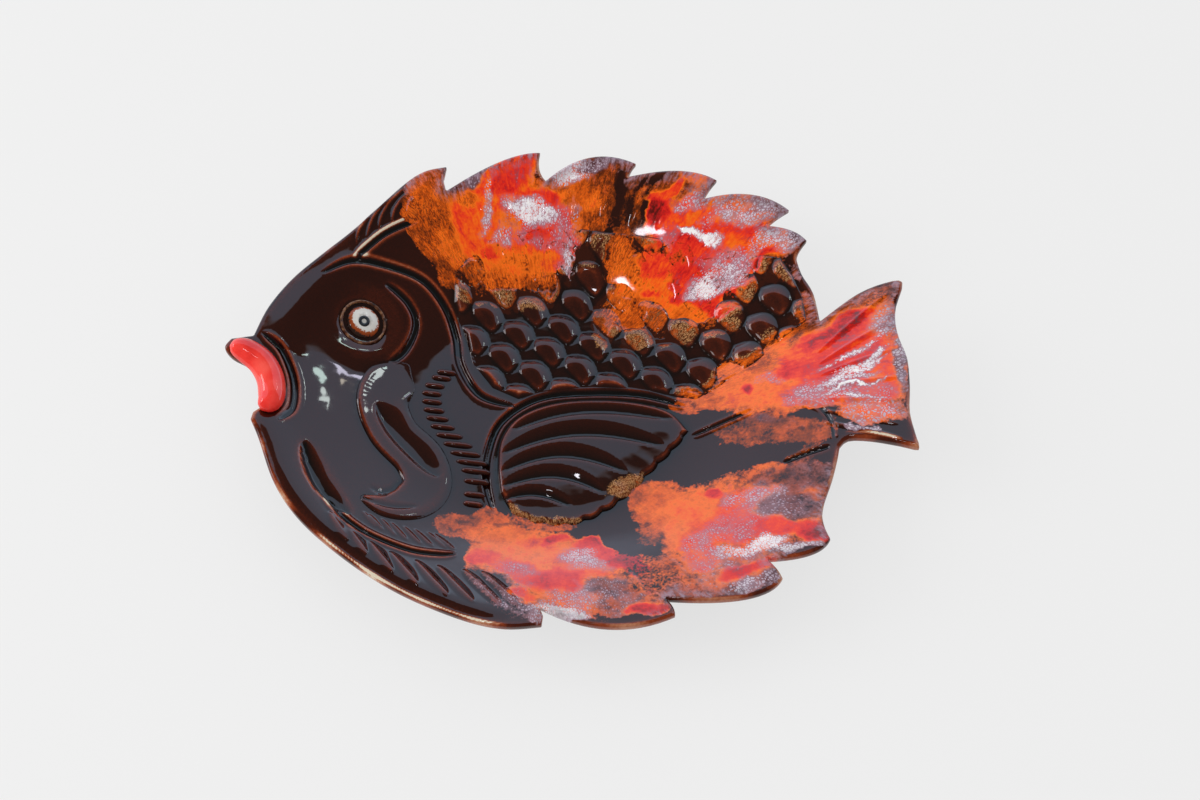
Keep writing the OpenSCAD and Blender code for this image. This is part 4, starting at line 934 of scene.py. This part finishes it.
def makeGlaze():
    material, add = newMaterial("breakingGlaze")
    limits = glazeLimits
    thin, cover, warmth, foam, edge, wall, domed, run = (
        add("Attribute", output="Fac", attribute_name=name)
        for name in ("thin", "cover", "warmth", "foam", "edge", "wall", "domed", "run"))
    coords = add("TexCoord", output="Object")
    broad, fine, clouds, veils, swells = (
        add("TexNoise", coords, None, *perMetre(*glaze[name]))
        for name in ("broad", "fine", "clouds", "veils", "swells"))
    # patterns that follow the run of the glaze, wobbled a little
    wobble = add("TexNoise", coords, None, *perMetre(*glaze["wobble"]), output="Color")
    flow = add("Attribute", output="Vector", attribute_name="flow")
    bent = add("VectorMath MULTIPLY_ADD", wobble, [glaze["bend"]] * 3, flow)
    drawn = add("Mapping", bent, sockets={"Scale": (1, glaze["drawnOut"], 1)})
    laceAt = add("Mapping", bent, sockets={"Scale": (1, 1 / glaze["run"], 1)})
    streaks, threads = (add("TexNoise", drawn, None, *perMetre(*glaze[name]))
                        for name in ("streaks", "threads"))
    cell = add("TexVoronoi", laceAt, output="Distance", feature="DISTANCE_TO_EDGE",
               sockets={"Scale": perMetre(glaze["drop"])[0]})
    along = add("Math MULTIPLY", add("Math MULTIPLY_ADD", streaks, 0.9, -0.45),
                add("Math MULTIPLY_ADD", run, 0.7, 0.3))
    unrest = add("Math ADD", add("Math MULTIPLY_ADD", broad, 1.1, -0.55), along)
    grain = add("Math MULTIPLY_ADD", fine, 0.5, -0.25)
    # colour of the bright glaze
    hot = add("Math MULTIPLY_ADD", unrest, 0.55, add("Math MULTIPLY_ADD", grain, 0.35, warmth))
    bright = add("ValToRGB", hot, stops=glaze["brightStops"])
    # where it is orange-brown, brown smokes up through it in clouds and in threads
    thread = add("Math ABSOLUTE", add("Math SUBTRACT", threads, 0.5))
    thread = add("Math MULTIPLY", add("MapRange", thread, *limits["thread"]), run)
    thread = add("Math MULTIPLY", thread, add("MapRange", warmth, *limits["threadWarmth"]))
    cloud = add("Math MULTIPLY", add("MapRange", warmth, *limits["cloudWarmth"]),
                add("MapRange", cover, *limits["cloudCover"]))
    cloud = add("Math MULTIPLY", add("MapRange", clouds, *limits["cloud"]), cloud)
    smoke = add("Math MAXIMUM", thread, cloud)
    # a dusk of dark lilac where the foam begins, and a pale lilac haze in patches over it
    dusk = add("MapRange", add("Math MULTIPLY_ADD", unrest, 0.7, foam), *limits["duskFoam"])
    cool = add("MapRange", add("Math MULTIPLY_ADD", unrest, -0.6, warmth), *limits["duskWarmth"])
    dusk = add("Math MULTIPLY", dusk, cool)
    froth = add("Math ADD", add("Math MULTIPLY", grain, 0.5),
                add("Math MULTIPLY_ADD", unrest, 0.6, foam))
    haze = add("Math MULTIPLY", add("MapRange", froth, *limits["haze"]),
               add("MapRange", veils, *limits["veils"]))
    # white foam: drops of it drawn out by the run, closed where there is much
    drops = add("Math SUBTRACT", cell, add("Math MULTIPLY_ADD", froth, -0.44, 0.4))
    drops = add("Math MULTIPLY", add("MapRange", drops, *limits["drops"]),
                add("MapRange", froth, *limits["foam"]))
    foamColour = add("ValToRGB", froth, stops=glaze["foamStops"])
    # near the rim it turns dull lilac and brown
    dull = add("MapRange", add("Math ADD", unrest, grain), *limits["dull"])
    dull = add("Math MULTIPLY", add("MapRange", edge, *limits["dullEdge"]), dull)
    rimStreaks = add("MapRange", streaks, *limits["rimStreaks"])
    rimColour = layered(add, glaze["rimBrown"], [(rimStreaks, 1, glaze["haze"])])
    bright = layered(add, bright, [
        (smoke, glaze["veil"], glaze["fleck"]), (dusk, glaze["veil"], glaze["dusk"]),
        (haze, glaze["veil"], glaze["haze"]), (drops, 1, foamColour),
        (dull, glaze["veil"], rimColour)])
    # the brown, breaking over edges and on the steep wall; the thin reading also carries the
    # painted highlight lines, which turn it cream
    broken = add("Math MULTIPLY_ADD", fine, 0.16, add("Math MULTIPLY_ADD", thin, 0.15, 0.345))
    broken = add("Math MULTIPLY_ADD", wall, 0.2, broken)
    brown = add("ValToRGB", broken, stops=glaze["brownStops"])
    # where the bright one lies: it draws back from the rim and from deep grooves
    rim = add("Math MULTIPLY", add("MapRange", edge, *limits["rim"]), -0.34)
    held = add("Math MINIMUM", add("Math MULTIPLY", thin, 0.12), 0.08)
    lies = add("Math ADD", add("Math MULTIPLY_ADD", unrest, 0.45, cover), rim)
    lies = add("Math ADD", lies, add("Math ADD", grain, held))
    over = add("MapRange", lies, *limits["lies"])
    # along its border it only keeps to the tops of scales and fin, in tan drops
    border = add("Math MULTIPLY", add("MapRange", lies, *limits["borderIn"]),
                 add("MapRange", lies, *limits["borderOut"]))
    border = add("Math MULTIPLY", border, add("MapRange", domed, *limits["raised"]))
    valley = add("Math MULTIPLY", border, add("MapRange", domed, *limits["valley"]))
    crest = add("Math MULTIPLY", add("MapRange", domed, *limits["crest"]),
                add("MapRange", edge, *limits["crestEdge"]))
    crest = add("Math MULTIPLY", border, crest)
    lace = add("Math MULTIPLY", crest, add("MapRange", cell, *limits["lace"]))
    colour = layered(add, brown, [
        (over, 1, bright), (valley, 1, glaze["fleck"]), (crest, 0.8, glaze["fleck"]),
        (lace, 0.9, glaze["tan"])])
    # a fired glaze is never quite even: swells a finger wide bend what it mirrors
    bump = add("Bump", sockets={"Strength": 1, "Distance": 1,
                                "Height": add("Math MULTIPLY", swells, glaze["swellHeight"])})
    rough = add("MapRange", over, sockets={"To Min": glaze["roughness"],
                                           "To Max": glaze["foamRoughness"]})
    add("OutputMaterial", add("BsdfPrincipled", sockets={
        "Base Color": colour, "Roughness": rough, "Normal": bump, "IOR": glaze["index"]}))
    return material


# Thin brown wash on the red earthenware underneath, wiped on by hand: streaky, half gloss
wash = dict(stops=[(0.3, "#2a120b"), (0.55, "#3d1a10"), (0.75, "#5a2a18")],
            streaks=(28.57, 6),         # mm across, detail
            roughness=(0.18, 0.4), index=1.55)


def makeWash():
    material, add = newMaterial("brownWash")
    streaks = add("TexNoise", add("TexCoord", output="Object"), None, *perMetre(*wash["streaks"]))
    colour = add("ValToRGB", streaks, stops=wash["stops"])
    rough = add("MapRange", streaks, sockets=dict(zip(("To Min", "To Max"), wash["roughness"])))
    add("OutputMaterial", add("BsdfPrincipled", sockets={
        "Base Color": colour, "Roughness": rough, "IOR": wash["index"]}))
    return material


# Bare red earthenware, where the foot is wiped clean so that it doesn't stick in the kiln:
# dry and gritty
clay = dict(stops=[(0.3, "#8f4c30"), (0.55, "#b0643f"), (0.8, "#c78560")],
            grit=(1.1111, 5),           # mm across, detail
            bump=(0.4, 0.0002),         # strength, and height in m
            roughness=0.85, index=1.5)
# Poured enamels on the lips, round the eye and on its pupil: even and wet, in soft clouds
enamels = dict(  # stops, mm across a cloud, roughness
    redEnamel=([(0.25, "#cc201b"), (0.5, "#f23c34"), (0.75, "#fb5c50")], 14, 0.05),
    rustEnamel=([(0.3, "#2c1d17"), (0.5, "#5c3826"), (0.7, "#9c7454")], 3, 0.1),
    darkEnamel=([(0.3, "#15181a"), (0.5, "#20252a"), (0.7, "#2f353a")], 2, 0.1),
)
enamelBump = (0.08, 0.0003)
enamelIndex = 1.6


def makeMottled(name, stops, pattern, bump, roughness, index):
    # a colour and a bump that follow the same clouds or grit
    material, add = newMaterial(name)
    mottle = add("TexNoise", add("TexCoord", output="Object"), None, *perMetre(*pattern))
    strength, distance = bump
    add("OutputMaterial", add("BsdfPrincipled", sockets={
        "Base Color": add("ValToRGB", mottle, stops=stops), "Roughness": roughness, "IOR": index,
        "Normal": add("Bump", sockets={"Strength": strength, "Distance": distance,
                                       "Height": mottle})}))
    return material


# Tin white painted by hand on a brown button: its edge is ragged and leaves the brown at
# the lower left
eyeEnamel = dict(
    shift=(1.3, 1.0),                   # mm that the white is off the button's middle
    ragged=(1.25, 2), waver=0.003,      # mm across, detail; m that the edge wavers
    reach=50,                           # stops are distances from the middle, as shares of 20 mm
    stops=[(0.2, "#b9b7b2"), (0.3, "#dcdbd6"), (0.42, "#d4d2cc"), (0.445, "#9a4a22"),
           (0.52, "#8a3c18"), (0.56, "#2a1a14")],
    roughness=0.08, index=1.6,
)


def makeEyeEnamel():
    material, add = newMaterial("eyeEnamel")
    coords = add("TexCoord", output="Object")
    middle = Vector((*(place(eye["place"]) + eyeEnamel["shift"]), 0)) * mm
    flat = add("VectorMath MULTIPLY", add("VectorMath SUBTRACT", coords, middle), (1, 1, 0))
    far = add("VectorMath LENGTH", flat, output="Value")
    ragged = add("TexNoise", coords, None, *perMetre(*eyeEnamel["ragged"]))
    far = add("Math MULTIPLY_ADD", ragged, eyeEnamel["waver"], far)
    colour = add("ValToRGB", add("Math MULTIPLY", far, eyeEnamel["reach"]),
                 stops=eyeEnamel["stops"])
    add("OutputMaterial", add("BsdfPrincipled", sockets={
        "Base Color": colour, "Roughness": eyeEnamel["roughness"], "IOR": eyeEnamel["index"]}))
    return material


breakingGlaze = makeGlaze()
brownWash = makeWash()
bareClay = makeMottled("bareEarthenware", clay["stops"], clay["grit"], clay["bump"],
                       clay["roughness"], clay["index"])
redEnamel, rustEnamel, darkEnamel = (
    makeMottled(name, stops, (size, 4), enamelBump, roughness, enamelIndex)
    for name, (stops, size, roughness) in enamels.items())
creamEnamel = makeEyeEnamel()
print("materials made")


# The dish itself.

meshSize = dict(  # mm along an edge: on the lines of the relief, far from them, growth per mm
    rim=(0.9, 1.9, 0.5), groove=(0.9, 1.9, 0.25), ray=0.9,
    underside=(1, 4, 0.4), undersideLattice=0.95,
    patch=(0.6, 1.3, 0.5), scales=(0.7, 0.7, 0.5), hidden=(1.5, 3, 0.5),
)
sunk = 1.2   # how far a raised piece reaches down into the dish
merge = 0.001


def bodyTargets(points):
    limit = edgeTargets(points, rimClosed, *meshSize["rim"])
    for line, *_ in grooveLines.values():
        limit = np.minimum(limit, edgeTargets(points, line, *meshSize["groove"]))
    for line, width, _ in allRays:
        d, _, _ = lineField(points, line)
        limit = np.where(d < width * 0.6, meshSize["ray"], limit)
    return limit


def setHeights(bm, heights):
    for v, height in zip(bm.verts, heights):
        v.co.z = height


def makeBody():
    edge = dish["edge"]
    # rings that round the rim, outwards over the top and back in below
    angles = [math.radians(a) for a in (55, 72, 90)]
    loops = [rimLine + inwardOf(rimLine) * edge * (1 - math.sin(a)) for a in angles]
    drops = [edge * (1 - math.cos(a)) for a in angles]
    bm = bmesh.new()
    fillSheet(bm, loops[0], 0, meshSize["ray"], bodyTargets)
    fillSheet(bm, loops[0], -5, meshSize["undersideLattice"],
              lambda p: edgeTargets(p, rimClosed, *meshSize["underside"]))
    rings = [drawLoop(bm, loop, -k) for k, loop in enumerate(loops + loops[::-1])]
    for above, below in zip(rings, rings[1:]):
        bmesh.ops.bridge_loops(bm, edges=above + below)
    bmesh.ops.remove_doubles(bm, verts=bm.verts, dist=merge)
    # so far each vertex's height only says which sheet or ring it is in
    co = np.array([v.co for v in bm.verts])
    p = co[:, :2]
    zone = np.round(-co[:, 2]).astype(int)
    top = dishTop(p)
    slope = np.linalg.norm(slopeAt(p), axis=1)
    bottom = top - np.where(reach(p) > dish["flatShare"], dish["wall"] * np.hypot(1, slope),
                            dish["floor"])
    d, _, _ = lineField(p, rimClosed)
    d = np.minimum(d, edge)
    rounding = edge - np.sqrt(np.maximum(edge ** 2 - (edge - d) ** 2, 0))
    relief = (bodyRelief(p) + rimBeads(p)) * soften((d + 0.5) / edge)
    setHeights(bm, np.choose(zone, [top + relief - rounding, top - drops[1], top - drops[2],
                                    bottom + drops[2], bottom + drops[1], bottom + rounding]))
    bm.verts.index_update()
    for f in bm.faces:
        f.material_index = int(all(zone[v.index] >= 4 for v in f.verts))
    finish(bm, "platterBody", [breakingGlaze, brownWash],
           replaces=("platter_body", "back_fin_rays", "tail_rays", "belly_fin_rays",
                     "belly_barbs", "nape_rays"))


makeBody()


# Raised pieces that sit on it.

def makePatch(name, loop, relief, size, least, replaces):
    # a sheet with relief on top, closed below by one that lies just inside the dish
    bm = bmesh.new()
    border = closed(loop)
    for z, sizes in ((0, meshSize[size]), (-1, meshSize["hidden"])):
        fillSheet(bm, loop, z, sizes[0], lambda p: edgeTargets(p, border, *sizes))
    bmesh.ops.bridge_loops(bm, edges=drawLoop(bm, loop, 0) + drawLoop(bm, loop, -1))
    bmesh.ops.remove_doubles(bm, verts=bm.verts, dist=merge)
    co = np.array([v.co for v in bm.verts])
    p = co[:, :2]
    setHeights(bm, dishTop(p) + np.where(co[:, 2] > -0.5, np.maximum(relief(p), least), -sunk))
    finish(bm, name, [breakingGlaze], replaces=replaces)


makePatch("sideFin", finEdge, finRelief, "patch", 0.2, ("side_fin",))
makePatch("cheekFlap", evenly(closed(flapEdge), 1.0)[:-1], flapRelief, "patch", 0.2,
          ("cheek_flap",))
makePatch("scaleField", scaleEdge, scaleRelief, "scales", -scales["sink"], ("scales",))


def newVerts(geom):
    return [g for g in geom if isinstance(g, bmesh.types.BMVert)]


def makeRibs():
    # each is half a round bar: a grid bent over it, with a skirt down into the dish
    bm = bmesh.new()
    for a, b in ribEnds:
        made = bmesh.ops.create_grid(bm, x_segments=12, y_segments=8, size=1)["verts"]
        ring = [e for e in {e for v in made for e in v.link_edges} if e.is_boundary]
        skirt = bmesh.ops.extrude_edge_only(bm, edges=ring)["geom"]
        low = newVerts(skirt)
        bmesh.ops.contextual_create(bm, geom=[
            g for g in skirt if isinstance(g, bmesh.types.BMEdge) and g.is_boundary])
        verts = made + low
        x, y, _ = np.array([v.co for v in verts]).T
        along = (b - a) / 2
        across = np.array([-along[1], along[0]]) / np.linalg.norm(along) * ribs["width"] / 2
        wide = fullness((x + 1) / 2, 3, 0.25)
        p = (a + b) / 2 + x[:, None] * along + (y * wide)[:, None] * across
        h = ribs["height"] * np.sqrt(np.maximum(1 - y ** 2, 0)) * fullness((x + 1) / 2, 4) - 0.2
        z = dishTop(p) + np.where(np.arange(len(verts)) < len(made), h, -sunk)
        for vert, (px, py), height in zip(verts, p, z):
            vert.co = (px, py, height)
    finish(bm, "gillRibs", [breakingGlaze], replaces=("gill_ribs",))


makeRibs()


# Lips, eye and foot.

lips = dict(
    line=[(-1.058, 0.125), (-1.006, 0.11), (-0.957, 0.075), (-0.927, 0.025), (-0.914, -0.03),
          (-0.915, -0.085), (-0.94, -0.13)],
    width=16, height=8, lift=1.0, inward=1.5, sides=24,
    under=0.6,   # how round they are below, as a share of the height above
)
foot = dict(width=6, edge=1.2, sunk=0.4)


def edgesAmong(verts):
    inside = set(verts)
    return list({e for v in verts for e in v.link_edges if e.other_vert(v) in inside})


def makeLips():
    # a circle drawn along the line of the mouth, fuller in the middle
    bm = bmesh.new()
    line = evenly(smoothLine(place(lips["line"]), 8), 1.6)
    line[:, 0] += lips["inward"]
    run = np.gradient(line, axis=0)
    run /= np.linalg.norm(run, axis=1)[:, None]
    t = np.linspace(0, 1, len(line))
    full = fullness(t, 5, 0.12)
    ring = bmesh.ops.create_circle(bm, segments=lips["sides"], radius=1)["verts"]
    corners = np.array([v.co.xy for v in ring])
    bmesh.ops.contextual_create(bm, geom=list({e for v in ring for e in v.link_edges}))
    for i, (p, way, f) in enumerate(zip(line, run, full)):
        if i:
            made = bmesh.ops.extrude_edge_only(bm, edges=edgesAmong(ring))["geom"]
            fresh = set(newVerts(made))
            ring = [next(e.other_vert(v) for e in v.link_edges if e.other_vert(v) in fresh)
                    for v in ring]
        across = np.array([-way[1], way[0]])
        z = dishTop(p[None])[0] + lips["lift"]
        for v, (c, s) in zip(ring, corners):
            q = p + across * c * lips["width"] / 2 * f
            up = s if s > 0 else s * lips["under"]
            v.co = (*q, z + up * (lips["height"] - lips["lift"]) * f)
    bmesh.ops.contextual_create(bm, geom=edgesAmong(ring))
    finish(bm, "lipRoll", [redEnamel], replaces=("lip_roll",))


def tilted(bm, middle):
    # turns what lies flat round the origin onto the slope of the dish at a place
    east, north = slopeAt(middle[None])[0]
    up = Vector((-east, -north, 1)).normalized()
    turn = Vector((0, 0, 1)).rotation_difference(up).to_matrix().to_4x4()
    move = Matrix.Translation((*middle, dishTop(middle[None])[0]))
    bmesh.ops.transform(bm, matrix=move @ turn, verts=bm.verts)


def spun(bm, profile, steps):
    # a section in x and z spun round the z axis, closed at the axis if it ends there
    verts = [bm.verts.new((x, 0, z)) for x, z in profile]
    edges = [bm.edges.new(pair) for pair in zip(verts, verts[1:])]
    if profile[0][0] > merge:
        edges.append(bm.edges.new((verts[-1], verts[0])))
    bmesh.ops.spin(bm, geom=verts + edges, cent=(0, 0, 0), axis=(0, 0, 1), dvec=(0, 0, 0),
                   angle=2 * math.pi, steps=steps, use_merge=True, use_duplicate=False)
    bmesh.ops.remove_doubles(bm, verts=bm.verts, dist=merge)


def ringSection(size, width, low, height, count):
    # half round on top, with a straight skirt below; size is the ring's outer one
    out = []
    for k in range(count):
        a = 2 * math.pi * k / count
        up, down = max(math.sin(a), 0), eye["skirt"] if math.sin(a) < 0 else 0
        out.append((size / 2 - width / 2 + width / 2 * math.cos(a), low + height * up - down))
    return out


def makeEye():
    r, h = eye["white"] / 2, eye["whiteHeight"]
    dome = [(r * math.sin(a), h * math.cos(a)) for a in (math.pi / 2 * k / 10 for k in range(11))]
    dome = [(0, h)] + dome[1:] + [(r, -eye["skirt"]), (0, -eye["skirt"])]
    rim = ringSection(eye["ring"], eye["ringWidth"], 0, eye["ringHeight"], 14)
    pupil = ringSection(eye["pupil"], eye["pupilWidth"], h - 0.3, eye["pupilHeight"], 12)
    for name, section, steps, enamel, node, slot in (
            ("eyeRing", rim, 64, rustEnamel, "eye_ring", "rust_glaze"),
            ("eyeWhite", dome, 48, creamEnamel, "eye_white", "cream_glaze"),
            ("eyePupil", pupil, 40, darkEnamel, "eye_pupil", "dark_glaze")):
        bm = bmesh.new()
        spun(bm, section, steps)
        tilted(bm, place(eye["place"]))
        finish(bm, name, [enamel], replaces=(node,))


def oval(share, count):
    a = np.linspace(0, 2 * math.pi, count, endpoint=False)
    c, s = np.cos(a), np.sin(a)
    r = share / (np.abs(c) ** dish["power"] + np.abs(s) ** dish["power"]) ** (1 / dish["power"])
    return centre + np.stack([r * c, r * s], -1) * halfSize


def makeFoot():
    bm = bmesh.new()
    top = dish["foot"] + foot["sunk"]
    inner = dish["flatShare"] * (1 - foot["width"] / (dish["flatShare"] * halfSize[1]))
    loops = [drawLoop(bm, oval(share, 120), top) for share in (dish["flatShare"], inner)]
    band = bmesh.ops.bridge_loops(bm, edges=loops[0] + loops[1])["faces"]
    down = bmesh.ops.extrude_face_region(bm, geom=band)["geom"]
    bmesh.ops.translate(bm, vec=(0, 0, -top), verts=newVerts(down))
    bmesh.ops.recalc_face_normals(bm, faces=bm.faces)
    corners = [e for e in bm.edges if all(abs(v.co.z) < 0.01 for v in e.verts)
               and any(abs(f.normal.z) < 0.5 for f in e.link_faces)]
    bmesh.ops.bevel(bm, geom=corners, offset=foot["edge"], offset_type="OFFSET", segments=3,
                    profile=0.5, affect="EDGES", material=-1)
    finish(bm, "footRing", [bareClay], replaces=("foot_ring",))


makeLips()
makeEye()
makeFoot()


# Table, light and camera.

stage = dict(
    table="#f0f0f0", spread=6.0, ownLight=0.8,   # how much of the table's white is lit evenly
    # what only the gloss shows: a bright wall behind up to a line, and the dark room above it
    band=1.05, wallTop=1.78, lineWidth=0.02, ceiling=0.1,
    glow=(0.3, 0.15, 1, 1.6),                    # the wall's foot: height from, to, and strengths
    bandColour="#cfe4ff", ceilingColour="#fff2e8",
    around=0.75,                                 # even light
    lamp=22, lampSize=1.4, lampPlace=(-2.0, 0.0, 1.2),
    lens=70, elevation=58, distance=1.34, target=(0.01865, -0.00171, 0.02),
    # panes that only the gloss shows: direction, width, height, strength, colour
    paneDistance=1.6,
    panes=[((0.46, 0.51, 0.72), 0.035, 0.075, 11, "#d8f2ea"),
           ((0.50, 0.47, 0.72), 0.035, 0.075, 11, "#e4e0f6"),
           ((0.47, 0.55, 0.68), 0.035, 0.05, 10, "#e8f4f0"),
           ((0.52, 0.51, 0.68), 0.035, 0.05, 9, "#e8dcc8"),
           ((0.42, 0.44, 0.79), 0.02, 0.1, 12, "#d8f2ea"),
           ((-0.229, -0.077, 0.97), 0.143, 0.05, 20, "#f4f2fb"),
           ((-0.85, 0.25, 0.45), 0.6, 0.35, 4, "#fff4f4")],
)


def makeTable():
    bm = bmesh.new()
    bmesh.ops.create_grid(bm, x_segments=2, y_segments=2, size=stage["spread"])
    mesh = bpy.data.meshes.new("table")
    bm.to_mesh(mesh)
    bm.free()
    table = bpy.data.objects.new("table", mesh)
    bpy.context.collection.objects.link(table)
    material, add = newMaterial("paleTable")
    path = add("LightPath").node
    seen = add("Math MAXIMUM", path.outputs["Is Camera Ray"], path.outputs["Is Glossy Ray"])
    share = add("Math MULTIPLY", seen, stage["ownLight"])
    add("OutputMaterial", add("MixShader", share, add("BsdfDiffuse", stage["table"]),
                              add("Emission", stage["table"], 1)))
    mesh.materials.append(material)


def makeWorld():
    world = bpy.data.worlds.new("studio")
    bpy.context.scene.world = world
    world.use_nodes = True
    world.node_tree.nodes.clear()
    add = partial(addNode, world.node_tree)
    way = add("SeparateXYZ", add("TexCoord", output="Generated")).node
    over = add("Math MULTIPLY_ADD", way.outputs["Y"], -stage["wallTop"], way.outputs["Z"])
    wall = add("MapRange", over, stage["lineWidth"], -stage["lineWidth"])
    tint = layered(add, stage["ceilingColour"], [(wall, 1, stage["bandColour"])])
    glow = add("MapRange", way.outputs["Z"], *stage["glow"])
    level = add("MapRange", add("Math MULTIPLY", wall, glow), clamp=False,
                sockets={"To Min": stage["ceiling"], "To Max": stage["band"]})
    path = add("LightPath").node
    lit = add("MixShader", path.outputs["Is Glossy Ray"],
              add("Background", "#ffffff", stage["around"]), add("Background", tint, level))
    add("OutputWorld", add("MixShader", path.outputs["Is Camera Ray"], lit,
                           add("Background", stage["table"], 1)))


def placeLamp(name, at, width, height, energy, colour):
    data = bpy.data.lights.new(name, "AREA")
    data.shape = "RECTANGLE"
    data.size, data.size_y = width, height
    data.energy = energy
    data.color = hexColour(colour)[:3]
    lamp = bpy.data.objects.new(name, data)
    bpy.context.collection.objects.link(lamp)
    lamp.location = at
    lamp.rotation_euler = (Vector((0, 0, 0.03)) - lamp.location).to_track_quat("-Z", "Y").to_euler()
    return lamp


def makeLamps():
    size = stage["lampSize"]
    softbox = placeLamp("softbox", stage["lampPlace"], size, size, stage["lamp"], "#ffffff")
    softbox.visible_glossy = False
    for k, (way, width, height, strength, colour) in enumerate(stage["panes"]):
        # strength is the brightness of the pane; its power follows from its area
        pane = placeLamp(f"pane{k}", Vector(way).normalized() * stage["paneDistance"], width,
                         height, strength * width * height * math.pi, colour)
        pane.visible_diffuse = False


def makeCamera():
    data = bpy.data.cameras.new("camera")
    data.lens = stage["lens"]
    data.sensor_width = 36
    camera = bpy.data.objects.new("camera", data)
    bpy.context.collection.objects.link(camera)
    up = math.radians(stage["elevation"])
    target = Vector(stage["target"])
    camera.location = target + stage["distance"] * Vector((0, -math.cos(up), math.sin(up)))
    camera.rotation_euler = (target - camera.location).to_track_quat("-Z", "Y").to_euler()
    bpy.context.scene.camera = camera


makeTable()
makeWorld()
makeLamps()
makeCamera()
bpy.context.scene.view_settings.view_transform = "Standard"
print("stage set")
